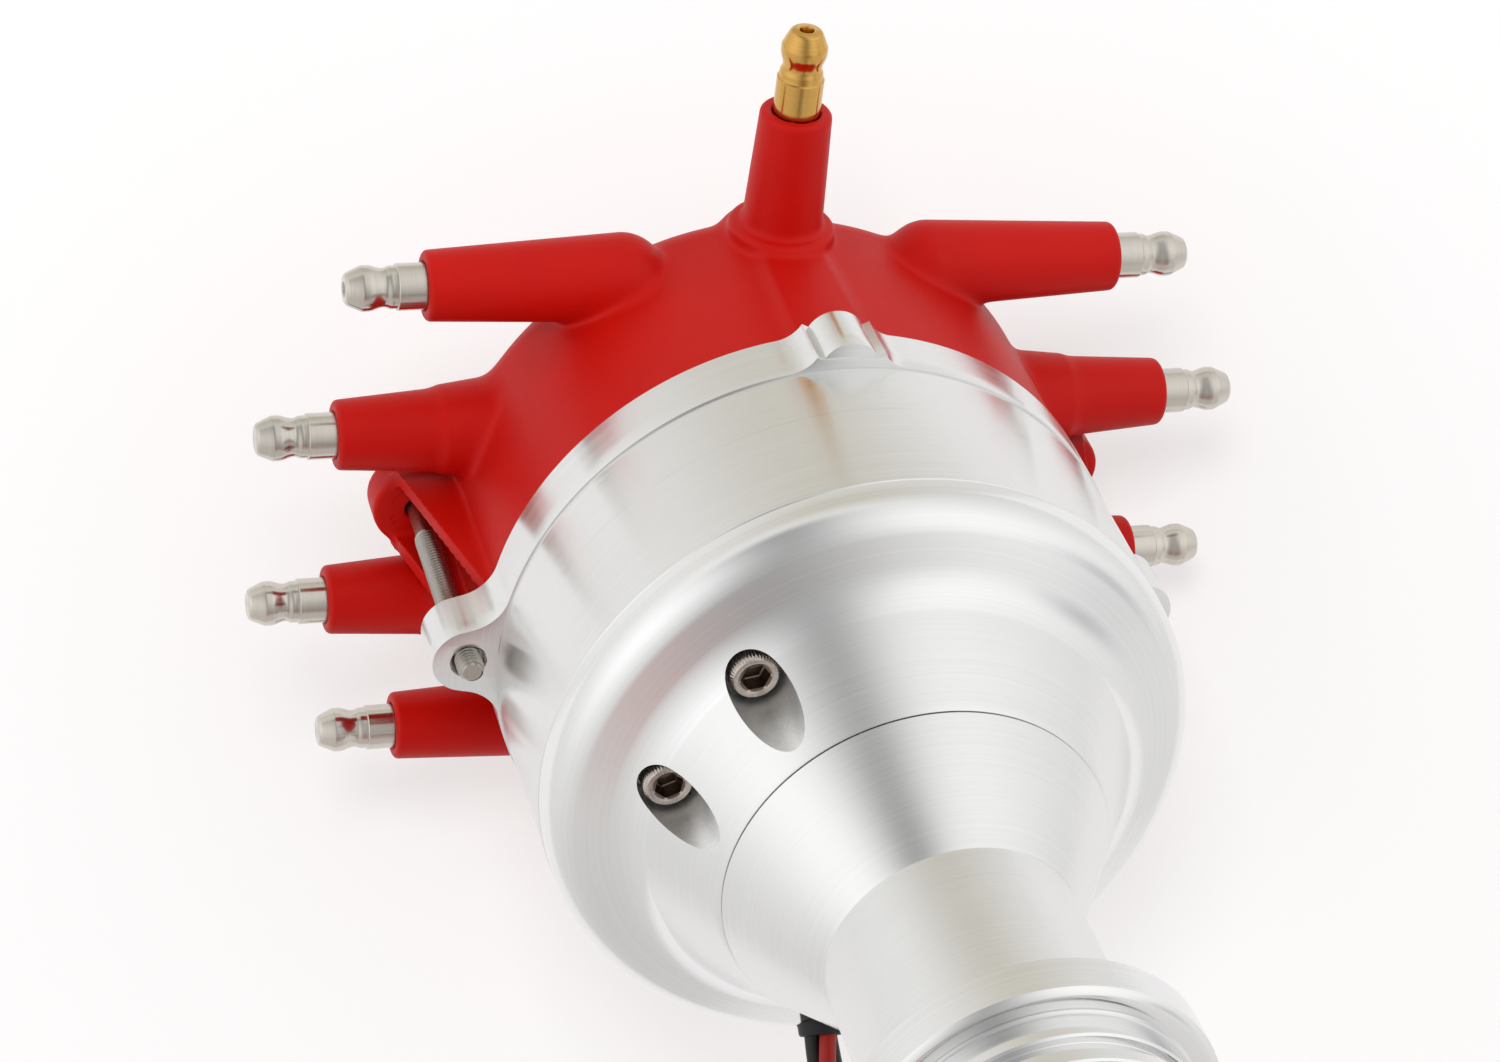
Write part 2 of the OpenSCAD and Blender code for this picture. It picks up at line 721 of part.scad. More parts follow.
module pickup_bracket() color([0.62, 0.6, 0.5]) {
    difference() {
        rotate([0, 0, pickup_angle]) translate([bobbin_from, -bobbin_r - 5, floor_z])
            cube([bobbin_len + 5, 2 * bobbin_r + 10, bracket_t]);
        pickup_screw_places() translate([0, 0, -1]) cylinder(r = pickup_screw_r, h = bracket_t + 2);
    }
}

module pickup_coil() color([0.15, 0.15, 0.16]) {
    rotate([0, 0, pickup_angle]) translate([bobbin_from, 0, pickup_z]) rotate([0, 90, 0])
        difference() {
            union() {
                cylinder(r = bobbin_r, h = 1.5);
                cylinder(r = bobbin_r - 1.2, h = bobbin_len);
                translate([0, 0, bobbin_len - 1.5]) cylinder(r = bobbin_r, h = 1.5);
            }
            translate([0, 0, -1]) cylinder(r = 2.5, h = bobbin_len + 2);
        }
}

module pickup_core() color([0.45, 0.45, 0.48]) {
    rotate([0, 0, pickup_angle]) {
        translate([bobbin_from - 5, 0, pickup_z]) rotate([0, 90, 0])
            cylinder(r = 2.5, h = bobbin_len + 5);
        translate([bobbin_from + bobbin_len, -6, floor_z + bracket_t])
            cube([5, 12, 2 * bobbin_r - 1]);
    }
}

module pickup_screws() color([0.6, 0.6, 0.62]) {
    pickup_screw_places() {
        translate([0, 0, -3.6]) cylinder(r = pickup_screw_r, h = bracket_t + 3.6 + eps);
        translate([0, 0, bracket_t]) cylinder(r = pickup_screw_r + 0.8, h = 1.6);
    }
}

module ignition_module() color([0.12, 0.12, 0.13]) {
    middle = (module_screw_angles[0] + module_screw_angles[1]) / 2;
    difference() {
        translate([0, 0, floor_z])
            ring_sector(bowl_in_r - 1, bowl_in_r - 22.5, module_h, middle - 38, middle + 38);
        for (a = module_screw_angles) rotate([0, 0, a])
            translate([module_screw_r, 0, floor_z - 1]) cylinder(r = screw_r, h = 8);
    }
}

module module_screws() color([0.55, 0.53, 0.5]) {
    for (a = module_screw_angles) rotate([0, 0, a])
        translate([module_screw_r, 0, pocket_z]) difference() {
            union() {
                translate([0, 0, -socket_head_h]) cylinder(r = socket_head_r, h = socket_head_h);
                cylinder(r = screw_r, h = floor_z - pocket_z + 6.5);
            }
            translate([0, 0, -socket_head_h - 1]) cylinder(r = 2.3, h = 3.4, $fn = 6);
        }
}

module rotor_body() color([0.75, 0.12, 0.1]) {
    arm_w = blade_w + 6;
    difference() {
        union() {
            translate([0, 0, rotor_z]) cylinder(r = rotor_r, h = rotor_web_t);
            translate([0, 0, rotor_z]) cylinder(r1 = 15, r2 = 12, h = blade_z - rotor_z);
            translate([0, -arm_w / 2, rotor_z]) cube([blade_tip_r - 4, arm_w, blade_z - rotor_z]);
            translate([-22, -2, rotor_z]) cube([22, 4, (blade_z - rotor_z) * 0.6]);
            for (a = [0, 180]) rotate([0, 0, leg_angle + a])
                translate([leg_at, 0, plate_z + plate_t])
                    cylinder(r = leg_r, h = rotor_z - plate_z - plate_t + 1);
        }
        for (a = [0, 180]) rotate([0, 0, leg_angle + a]) translate([leg_at, 0, 0])
            translate([0, 0, plate_z]) cylinder(r = 1.8, h = 60);
    }
}

module rotor_blade() color([0.8, 0.62, 0.3]) {
    translate([0, 0, blade_z]) {
        intersection() {
            translate([0, -blade_w / 2, 0]) cube([blade_tip_r + 1, blade_w, blade_t]);
            cylinder(r = blade_tip_r, h = blade_t);
        }
        cylinder(r = 6, h = blade_t);
        translate([0, 0, blade_t - eps]) cylinder(r1 = 5.5, r2 = 3.5, h = contact_h + eps);
    }
}

module rotor_screws() color([0.6, 0.6, 0.62]) {
    for (a = [0, 180]) rotate([0, 0, leg_angle + a]) translate([leg_at, 0, plate_z]) {
        cylinder(r = 1.6, h = rotor_z + rotor_web_t - plate_z + eps);
        translate([0, 0, rotor_z + rotor_web_t - plate_z]) cylinder(r = 3.2, h = 2.4);
    }
}

// Centre and side of each plug tower: side of the row, distance from the middle, reach
towers = [[-1, -outer_y, outer_reach], [-1, -inner_y, inner_reach],
          [-1, inner_y, inner_reach], [-1, outer_y, outer_reach],
          [1, outer_y, outer_reach], [1, inner_y, inner_reach],
          [1, -inner_y, inner_reach], [1, -outer_y, outer_reach]];
electrode_angles = [247.5, 202.5, 157.5, 112.5, 67.5, 22.5, 337.5, 292.5];

// Where a tower's axis leaves the cap's wall
function wall_x(y) = sqrt(cap_r * cap_r - y * y);

// Half profile of a tower: a round end at the root, a slow taper and a broken edge at the tip
module tower_outline(length) {
    intersection() {
        circle(r = tower_root_r);
        translate([0, -tower_root_r - 1]) square([tower_root_r + 1, tower_root_r + 2]);
    }
    polygon([[0, 0], [tower_root_r, 0], [tower_tip_r, length - 0.8],
             [tower_tip_r - 0.8, length], [0, length]]);
}

// One plug tower. An outer one starts as a round end on the wall, an inner one has a flared root
module tower(t) {
    wall = wall_x(t[1]);
    translate([t[0] * wall, t[1], tower_axis_z]) along_x(t[0]) {
        rotate_extrude() tower_outline(t[2] - wall);
        if (abs(t[1]) < cap_r / 2)
            translate([0, 0, -14]) cylinder(r1 = tower_root_r + 2.8, r2 = tower_root_r - 0.6, h = 20);
    }
}

// Half profile of the cap's outer shell
module cap_outline() {
    translate([0, bowl_top_z]) square([cap_r, cap_h - cap_round]);
    translate([0, bowl_top_z]) square([cap_r - cap_round, cap_h]);
    translate([cap_r - cap_round, cap_top_z - cap_round]) circle(r = cap_round);
}

// Half profile of the cap's hollow
module cap_hollow_outline() {
    in_r = cap_r - cap_wall;
    in_top = cap_top_z - roof_t;
    round_r = cap_round - 3;
    translate([0, bowl_top_z - lip_h - 1]) square([in_r - lip_t - 0.2, 10]);
    translate([0, bowl_top_z + 4]) square([in_r, in_top - bowl_top_z - 4 - round_r]);
    translate([0, bowl_top_z]) square([in_r - round_r, in_top - bowl_top_z]);
    translate([in_r - round_r, in_top - round_r]) circle(r = round_r);
    polygon([[0, bowl_top_z + 1], [in_r - lip_t - 0.2, bowl_top_z + 1], [in_r, bowl_top_z + 4],
             [0, bowl_top_z + 4]]);
}

// Screw lug with its two gussets
module cap_lug(side) {
    gusset_t = 3;
    reach = screw_x + lug_r;
    translate([side * screw_x, 0, lug_bottom_z]) cylinder(r = lug_r, h = lug_t);
    translate([side > 0 ? cap_r - 8 : -screw_x, -lug_r, lug_bottom_z])
        cube([screw_x - cap_r + 8, 2 * lug_r, lug_t]);
    for (s = [-1, 1])
        translate([0, s * (lug_r - gusset_t / 2) + gusset_t / 2, 0]) rotate([90, 0, 0])
            linear_extrude(gusset_t)
                polygon([[side * (cap_r - 8), lug_bottom_z + eps], [side * (screw_x + 2), lug_bottom_z + eps],
                         [side * (screw_x + 1), lug_bottom_z - 4], [side * (cap_r + 1), bowl_top_z + 2],
                         [side * (cap_r - 2), bowl_top_z + 1], [side * (cap_r - 8), bowl_top_z + 4]]);
}

module cap_outside() {
    rotate_extrude() intersection() {
        cap_outline();
        square([200, 300]);
    }
    for (t = towers) tower(t);
    cap_lug(1);
    cap_lug(-1);
    translate([0, 0, bowl_top_z - lip_h]) ring(bowl_in_r - lip_gap, bowl_in_r - lip_gap - lip_t, lip_h + 1);
    translate([0, 0, cap_top_z - 2])
        cylinder(r1 = hub_r + 1.5, r2 = hub_r, h = ridge_z + ridge_r - cap_top_z + 2);
    translate([0, 0, ridge_z]) rotate([90, 0, 0]) {
        cylinder(r = ridge_r, h = cap_r - 1.5);
        translate([0, 0, cap_r - 1.5 - eps]) cylinder(r1 = ridge_r, r2 = ridge_r - 2, h = 2.2);
    }
    translate([0, 0, tower_axis_z]) rotate([90, 0, 0]) {
        cylinder(r1 = tower_root_r + 1, r2 = tower_tip_r + 0.1, h = coil_reach - 0.8);
        translate([0, 0, coil_reach - 0.8 - eps])
            cylinder(r1 = tower_tip_r + 0.1, r2 = tower_tip_r - 0.7, h = 0.8 + eps);
        cylinder(r = tower_root_r + 1.8, h = cap_r + 1.5);
        translate([0, 0, cap_r + 1.5 - eps])
            cylinder(r1 = tower_root_r + 1.8, r2 = tower_root_r - 0.6, h = 2.2);
    }
}

// Hollow of the cap, leaving the brush hub, the coil rib and a rib behind each electrode
module cap_hollow() {
    difference() {
        rotate_extrude() cap_hollow_outline();
        translate([0, 0, brush_z + 1.6]) cylinder(r = brush_hub_r, h = 40);
        translate([-4.5, -cap_r, tower_axis_z - rod_r - 2.5]) cube([9, cap_r, 20]);
        for (a = electrode_angles) rotate([0, 0, a])
            translate([electrode_r + electrode_t, -rib_w / 2, electrode_low_z - 3]) cube([20, rib_w, 60]);
    }
}

module cap() color([0.8, 0.07, 0.05]) {
    difference() {
        cap_outside();
        cap_hollow();
        for (i = [0:7]) {
            electrode(i);
            terminal_socket(towers[i]);
        }
        coil_rod();
        translate([0, -(coil_reach - socket_depth), tower_axis_z]) rotate([90, 0, 0])
            cylinder(r = post_r, h = 20);
        translate([0, 0, brush_z - 5]) cylinder(r = brush_r + fit_gap, h = brush_top_z - brush_z + 5);
        for (s = [-1, 1]) translate([s * screw_x, 0, bowl_top_z - 1]) {
            cylinder(r = screw_recess_r, h = lug_z + 1);
            cylinder(r = screw_neck_r + 0.3, h = lug_z + lug_t + 2);
        }
    }
}

module terminal_socket(t) {
    translate([t[0] * (t[2] - socket_depth), t[1], tower_axis_z]) along_x(t[0])
        cylinder(r = post_r, h = 20);
}

// Electrode: a pad facing the rotor and the rod that carries the spark out to the tower
module electrode(i) {
    t = towers[i];
    foot = (electrode_r + 1.5) * abs(cos(electrode_angles[i]));
    rotate([0, 0, electrode_angles[i]]) {
        translate([electrode_r, -electrode_w / 2, electrode_low_z])
            cube([electrode_t, electrode_w, electrode_top_z - electrode_low_z]);
        translate([electrode_r + 1, 0, tower_axis_z]) rotate([0, 90, 0])
            cylinder(r = rod_r, h = max(abs(t[1] / sin(electrode_angles[i])) - electrode_r - 1, 1));
    }
    translate([t[0] * foot, t[1], tower_axis_z]) along_x(t[0])
        cylinder(r = rod_r, h = t[2] - socket_depth - foot);
}

// Snap terminal in its own frame, +Z outwards, starting at the socket's floor: a base, a small step, a
// shallow waist, the bulb that the plug snaps over and a blunt cone. The end is the same on every one
module snap_terminal(length) {
    end = socket_depth + length;
    rotate_extrude() polygon([
        [0, 0], [post_r, 0], [post_r, end - 9.2], [post_r - 0.35, end - 9], [post_r - 0.35, end - 8],
        [bulb_r - 0.6, end - 7.3], [bulb_r - 0.6, end - 6.7], [bulb_r - 0.35, end - 5.6],
        [bulb_r, end - 4.1], [bulb_r, end - 2.8], [bulb_r - 0.8, end - 0.9], [bulb_r - 1.6, end],
        [0, end]]);
}

module plug_terminal(i) color([0.72, 0.7, 0.66]) {
    t = towers[i];
    translate([t[0] * (t[2] - socket_depth), t[1], tower_axis_z]) along_x(t[0]) snap_terminal(post_len);
}

// Rod from the coil tower to the pad above the brush
module coil_rod() {
    translate([0, -3, tower_axis_z]) rotate([90, 0, 0])
        cylinder(r = rod_r, h = coil_reach - socket_depth - 3);
    translate([-1.5, -9, tower_axis_z]) cube([3, 5, brush_top_z + 2 - tower_axis_z]);
    translate([-1.5, -5, brush_top_z]) cube([3, 5, 2]);
    translate([0, 0, brush_top_z]) cylinder(r = 3.4, h = 2);
}

module coil_conductor() color([0.8, 0.62, 0.3]) difference() {
    coil_rod();
    translate([0, 0, brush_z - 5]) cylinder(r = brush_r + fit_gap, h = brush_top_z - brush_z + 5);
}

module coil_terminal() color([0.8, 0.6, 0.25]) {
    translate([0, -(coil_reach - socket_depth), tower_axis_z]) rotate([90, 0, 0])
        snap_terminal(coil_post_len);
}

module carbon_brush() color([0.1, 0.1, 0.1]) {
    translate([0, 0, brush_z]) cylinder(r = brush_r, h = brush_len);
}

module brush_spring() color([0.75, 0.75, 0.78]) {
    translate([0, 0, brush_z + brush_len]) ring(brush_r - 0.2, brush_r - 0.9, brush_spring_len);
}

module cap_screws() color([0.7, 0.68, 0.64]) {
    for (s = [-1, 1]) translate([s * screw_x, 0, 0]) {
        translate([0, 0, screw_end_z]) cylinder(r = screw_r, h = screw_neck_z - screw_end_z);
        translate([0, 0, screw_neck_z - eps])
            cylinder(r = screw_neck_r, h = lug_top_z - screw_neck_z + 2 * eps);
        difference() {
            translate([0, 0, lug_top_z]) cylinder(r = screw_head_r, h = screw_head_h);
            translate([-screw_head_r - 1, -0.6, lug_top_z + screw_head_h - 1.4])
                cube([2 * screw_head_r + 2, 1.2, 3]);
        }
    }
}

module lead_grommet() color([0.08, 0.08, 0.08]) {
    at_exit() translate([0, 0, -spot_depth]) difference() {
        union() {
            cylinder(r = spot_r, h = spot_depth);
            translate([0, 0, spot_depth - eps]) cylinder(r1 = spot_r, r2 = lead_d / 2 + 0.9, h = grommet_out);
            translate([0, 0, -5]) cylinder(r = lead_d / 2 + 1, h = 5 + eps);
        }
        translate([0, 0, -6]) cylinder(r = lead_d / 2 - 0.6, h = 6 + spot_depth + grommet_out - 2);
    }
}

// Point of a smooth curve between four given points, at the share t of the way
function bend_point(b, t) = pow(1 - t, 3) * b[0] + 3 * pow(1 - t, 2) * t * b[1]
    + 3 * (1 - t) * t * t * b[2] + pow(t, 3) * b[3];

// Ring of points of the lead about one point of its route, square to the route there
function unit(v) = v / norm(v);
function route_dir(p, i) = unit(p[min(i + 1, len(p) - 1)] - p[max(i - 1, 0)]);
function tube_ring(c, d, r, n) = let (u = unit(cross(d, [1, 0, 0])), w = cross(d, u))
    [for (k = [0:n - 1]) c + r * (cos(k * 360 / n) * u + sin(k * 360 / n) * w)];

// Closed tube swept along a list of points
module swept_tube(p, r, n) {
    m = len(p);
    rings = [for (i = [0:m - 1]) tube_ring(p[i], route_dir(p, i), r, n)];
    polyhedron(points = [for (q = rings) for (v = q) v],
               faces = concat([[for (k = [n - 1:-1:0]) k]],
                              [for (i = [0:m - 2]) for (k = [0:n - 1])
                                  [i * n + k, i * n + (k + 1) % n,
                                   (i + 1) * n + (k + 1) % n, (i + 1) * n + k]],
                              [[for (k = [0:n - 1]) (m - 1) * n + k]]));
}

module lead() color([0.08, 0.08, 0.08]) swept_tube(lead_route, lead_d / 2, lead_sides);

// Places an upright outline behind the shank, as thick as the hank plus a margin
module behind_shank(margin) {
    translate([hank_x, hank_y - lead_d / 2 + hank_layers * lead_d + margin, 0]) rotate([90, 0, 0])
        linear_extrude(hank_layers * lead_d + 2 * margin) children();
}

// The lead's stored length, folded into an upright hank
module lead_hank() color([0.1, 0.1, 0.1]) {
    straight = hank_len - 2 * hank_half_w;
    behind_shank(0) {
        translate([-hank_half_w, hank_top_z - hank_half_w - straight]) square([2 * hank_half_w, straight]);
        translate([0, hank_top_z - hank_half_w]) circle(r = hank_half_w);
        translate([0, hank_top_z - hank_half_w - straight]) circle(r = hank_half_w);
    }
}

// Strap around the middle of the hank
module lead_tie() color([0.05, 0.05, 0.05]) {
    in_w = hank_half_w + tie_gap;
    low = hank_top_z - (hank_len + tie_w) / 2;
    difference() {
        behind_shank(tie_gap + tie_t) translate([-in_w - tie_t, low]) square([2 * (in_w + tie_t), tie_w]);
        behind_shank(tie_gap) translate([-in_w, low - 1]) square([2 * in_w, tie_w + 2]);
    }
}

module lead_plug() color([0.06, 0.06, 0.06]) {
    translate([hank_x - plug_size[0] / 2, hank_y + lead_d - plug_size[1] / 2,
               hank_top_z - hank_len - plug_gap - plug_size[2]])
        cube(plug_size);
}

bowl_housing();
shank_housing();
bearing_outer_race();
bearing_inner_race();
bearing_balls();
lower_bushing();
drive_shaft();
drive_gear();
gear_pin();
thrust_washer();
shaft_washer();
advance_cam();
cam_clip();
stop_bushing();
advance_base();
weight_pivot_pins();
weight_a();
weight_b();
advance_spring_a();
advance_spring_b();
reluctor();
pickup_bracket();
pickup_coil();
pickup_core();
pickup_screws();
ignition_module();
module_screws();
rotor_body();
rotor_blade();
rotor_screws();
cap();
for (i = [0:7]) {
    color([0.8, 0.62, 0.3]) electrode(i);
    plug_terminal(i);
}
coil_conductor();
coil_terminal();
carbon_brush();
brush_spring();
cap_screws();
lead_grommet();
lead();
lead_hank();
lead_tie();
lead_plug();
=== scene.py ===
from itertools import combinations
import json
from math import acos, atan2, cos, degrees, dist, hypot, pi, radians, sin, sqrt, tan

import bpy
import bmesh
import numpy as np
from mathutils import Matrix, Vector
from mathutils.geometry import tessellate_polygon


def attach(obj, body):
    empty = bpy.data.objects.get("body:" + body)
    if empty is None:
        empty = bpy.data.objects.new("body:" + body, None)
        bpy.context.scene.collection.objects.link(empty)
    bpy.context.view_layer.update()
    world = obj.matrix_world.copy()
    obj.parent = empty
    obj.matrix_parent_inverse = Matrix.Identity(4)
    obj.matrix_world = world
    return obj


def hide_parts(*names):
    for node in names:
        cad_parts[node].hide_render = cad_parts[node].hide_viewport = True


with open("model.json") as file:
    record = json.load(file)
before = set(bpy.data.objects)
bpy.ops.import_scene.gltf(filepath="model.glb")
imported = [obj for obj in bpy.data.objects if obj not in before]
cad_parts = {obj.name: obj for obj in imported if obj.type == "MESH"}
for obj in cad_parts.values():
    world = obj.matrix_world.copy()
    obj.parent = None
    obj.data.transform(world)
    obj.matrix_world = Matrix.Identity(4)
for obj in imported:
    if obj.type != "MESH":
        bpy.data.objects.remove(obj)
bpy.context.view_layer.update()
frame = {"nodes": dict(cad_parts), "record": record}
nodes = frame["nodes"]
scene = bpy.context.scene
MM = 0.001

# sizes in mm, as in the source
SEAM_Z = 64.3
BOWL_TOP = 140.2
FLANGE_Z = 129.5
BAND_R = 57.0
FLANGE_R = 57.35
BORE_R = 51.5
NECK_R, NECK_TOP = 21.7, 43.9
COLLAR_R, COLLAR_TOP = 30.2, 8.0
PILOT_R, GROOVE_R = 26.0, 24.4
SHANK_R, SHANK_END = 15.8, -75.0
FLOOR_Z = 85.7
LINE_Z = 95.9
TOWER_Z = 174.8
CAP_R = 56.6
CAP_TOP = 186.2
OUTER_Y, INNER_Y = 48.8, 18.2
OUTER_REACH, INNER_REACH, COIL_REACH = 64.4, 78.8, 81.6
POST_LEN, COIL_POST_LEN = 14.2, 15.9
POST_R, BULB_R = 4.2, 4.1
SCREW_X = 62.2
ROW = [(-OUTER_Y, OUTER_REACH), (-INNER_Y, INNER_REACH), (INNER_Y, INNER_REACH), (OUTER_Y, OUTER_REACH)]
TOWERS = [(-1, *t) for t in ROW] + [(1, *t) for t in reversed(ROW)]


# Camera
def new_object(name, data):
    ob = bpy.data.objects.new(name, data)
    scene.collection.objects.link(ob)
    return ob


def view_matrix(right, up, ahead, at):
    """Placement at a point that looks along ahead."""
    m = Matrix((right, up, -ahead)).transposed().to_4x4()
    m.translation = at
    return m


def make_camera():
    data = bpy.data.cameras.new("camera")
    data.lens = 96.0
    data.sensor_width = 36.0
    data.clip_start, data.clip_end = 0.01, 20
    cam = new_object("camera", data)
    scene.camera = cam
    right = Vector((0.96061, -0.10887, -0.25585)).normalized()
    ahead = Vector((0.27144, 0.56474, 0.77936)).normalized()
    up = right.cross(ahead).normalized()
    right = ahead.cross(up)
    cam.matrix_world = view_matrix(right, up, ahead, Vector((-202.5, -416.3, -411.6)) * MM)
    return cam, right, up, ahead


camera, CAM_RIGHT, CAM_UP, CAM_AHEAD = make_camera()


# Mesh helpers
def shade(me, sharp=0, normals=None):
    """Smooth faces, crisp at edges above the angle sharp in degrees, or with its own normals."""
    me.polygons.foreach_set("use_smooth", [True] * len(me.polygons))
    if normals is not None:
        me.normals_split_custom_set_from_vertices(normals)
    elif sharp:
        me.set_sharp_from_angle(angle=radians(sharp))


def add_mesh(name, verts, faces, sharp=35):
    """New object from points in mm."""
    me = bpy.data.meshes.new(name)
    me.from_pydata((np.asarray(verts, float) * MM).tolist(), [], faces)
    me.validate()
    shade(me, sharp)
    me.update()
    return new_object(name, me)


def from_bmesh(name, bm, sharp=0):
    me = bpy.data.meshes.new(name)
    bm.to_mesh(me)
    bm.free()
    shade(me, sharp)
    return new_object(name, me)


def join(name, parts, sharp=35):
    """One object in place of several."""
    bm = bmesh.new()
    for p in parts:
        bm.from_mesh(p.data)
        bpy.data.objects.remove(p)
    return from_bmesh(name, bm, sharp)


def arc(cx, cz, r, a0, a1, n):
    """Points of an arc in the profile plane, angles in degrees."""
    return [(cx + r * cos(radians(a0 + (a1 - a0) * i / n)),
             cz + r * sin(radians(a0 + (a1 - a0) * i / n))) for i in range(n + 1)]


def unit(v):
    """A vector, or each row of an array, at length 1."""
    return v / np.linalg.norm(v, axis=-1, keepdims=True)


def turns(n):
    """Angles of n points round a circle."""
    return np.arange(n) * 2 * np.pi / n


def ring(r, a, z):
    """Points at radius r and angles a, at height z."""
    return np.stack([r * np.cos(a), r * np.sin(a), np.full(len(a), z)], 1).tolist()


def pairs(n):
    """Each number below n with the next, closed round."""
    return [(k, (k + 1) % n) for k in range(n)]


def ring_faces(rows, n, start=0, flip=False):
    """Quads between rows of n points, each row closed round."""
    faces = []
    for row in range(start, start + (rows - 1) * n, n):
        for k, m in pairs(n):
            a, b = row + k, row + m
            faces.append((a, a + n, b + n, b) if flip else (a, b, b + n, a + n))
    return faces


def lathe_data(profile, segments, closed=False):
    """Points and faces of a profile of (r, z) turned about Z. A point with r 0 becomes a pole."""
    verts, rings = [], []
    for r, z in profile:
        start = len(verts)
        verts += [(0, 0, z)] if r < 1e-6 else ring(r, turns(segments), z)
        rings.append(range(start, len(verts)))
    faces = []
    for lo, hi in zip(rings, rings[1:] + (rings[:1] if closed else [])):
        for k, m in pairs(segments):
            if len(lo) > 1 and len(hi) > 1:
                faces.append((lo[k], lo[m], hi[m], hi[k]))
            elif len(hi) > 1:
                faces.append((lo[0], hi[m], hi[k]))
            elif len(lo) > 1:
                faces.append((lo[k], lo[m], hi[0]))
    return verts, faces


def place(verts, origin, axis=(0, 0, 1), spin=0.0):
    """Turns points made about +Z to point along axis from origin."""
    v = np.asarray(verts, float)
    q = Vector((0, 0, 1)).rotation_difference(Vector(axis).normalized())
    m = np.array((q.to_matrix() @ Matrix.Rotation(spin, 3, "Z")))
    return v @ m.T + np.asarray(origin, float)


def lathe(name, profile, segments=96, origin=(0, 0, 0), axis=(0, 0, 1), sharp=35, closed=False):
    verts, faces = lathe_data(profile, segments, closed)
    return add_mesh(name, place(verts, origin, axis), faces, sharp)


THREAD_R, THREAD_ROOT, PITCH = 2.38, 1.93, 0.794


def thread(name, z0, z1, segments, origin):
    """Thread of a number 10 screw from z0 to z1, with faded ends."""
    prof = [(-0.5, 0.0), (-0.42, 0.0), (-0.08, 1.0), (0.08, 1.0), (0.42, 0.0)]
    n, rounds = len(prof), (z1 - z0) / PITCH
    steps = int(rounds * segments)
    verts, faces = [], []
    for i in range(steps + 1):
        t = i / segments
        a = 2 * pi * t
        fade = max(0.0, min(1.0, t / 0.8, (rounds - t) / 0.8))
        for s, h in prof:
            r = THREAD_ROOT + (THREAD_R - THREAD_ROOT) * h * fade
            verts.append((r * cos(a), r * sin(a), z0 + PITCH * t + s * PITCH))
    for row in range(0, steps * n, n):
        faces += [(a, a + n, a + n + 1, a + 1) for a in range(row, row + n - 1)]
    return add_mesh(name, place(verts, origin), faces, 50)


def tube(name, path, radius, sides):
    """Round tube along points in mm, with a frame carried along so that it doesn't twist."""
    p = np.asarray(path, float)
    tangents = unit(np.gradient(p, axis=0))
    u = np.array((1.0, 0.0, 0.0))
    u = unit(u - tangents[0] * u.dot(tangents[0]))
    c, s = np.cos(turns(sides))[:, None], np.sin(turns(sides))[:, None]
    verts = []
    for q, d in zip(p, tangents):
        u = unit(u - d * u.dot(d))
        verts += (q + radius * (c * u + s * np.cross(d, u))).tolist()
    last = len(verts)
    caps = [tuple(range(sides - 1, -1, -1)), tuple(range(last - sides, last))]
    return add_mesh(name, verts, ring_faces(len(p), sides) + caps, 40)


# The lead, its hank and its plug
LEAD_D = 6.8
HANK_X, HANK_Y, HANK_TOP = -3.0, 66.5, 62.0
HANK_LEN, FOLD_R = 16.5 * LEAD_D, 3.1 * LEAD_D
HALF_W = FOLD_R + LEAD_D / 2
LEAD_BOW = 9.0
STEP_R = 20.6
# twist length, outer radius over strand radius, and how far along the photograph sees the lead
LAY, PACKING, SEEN_AT = 95.0, 2.155, 8


def exit_frame():
    """Point and direction of the lead's exit on the polished shoulder."""
    base = Vector((0, 49.85, 92.7))
    d = Vector((0, sin(radians(45)), -cos(radians(45))))
    rot = Matrix.Rotation(radians(3), 3, "Z")
    return rot @ (base + d * 7.0), rot @ d


EXIT, EXIT_DIR = exit_frame()


def lead_route():
    """The lead from its grommet down to the top of the hank, as one smooth bend."""
    start = EXIT + EXIT_DIR * 1.2
    end = Vector((HANK_X, HANK_Y, HANK_TOP + 0.2))
    b = [start + EXIT_DIR, start + EXIT_DIR * (1 + LEAD_BOW), end + Vector((0, 0, LEAD_BOW)), end]
    route = [tuple(start)]
    for i in range(8):
        t = i / 7
        s = 1 - t
        route.append(tuple(s ** 3 * b[0] + 3 * s ** 2 * t * b[1] + 3 * s * t * t * b[2] + t ** 3 * b[3]))
    return route


def s_bend(x0, x1, z0, r, n=14):
    """A sideways step from x0 to x1 going down from z0, as two equal arcs."""
    side = 1 if x1 > x0 else -1
    t = acos(1 - abs(x1 - x0) / (2 * r))
    angles = [t * i / n for i in range(n + 1)]
    pts = [(x0 + side * r * (1 - cos(a)), z0 - r * sin(a)) for a in angles]
    angles = [t * (1 - i / n) for i in range(1, n + 1)]
    return pts + [(x1 - side * r * (1 - cos(a)), z0 - 2 * r * sin(t) + r * sin(a))
                  for a in angles]


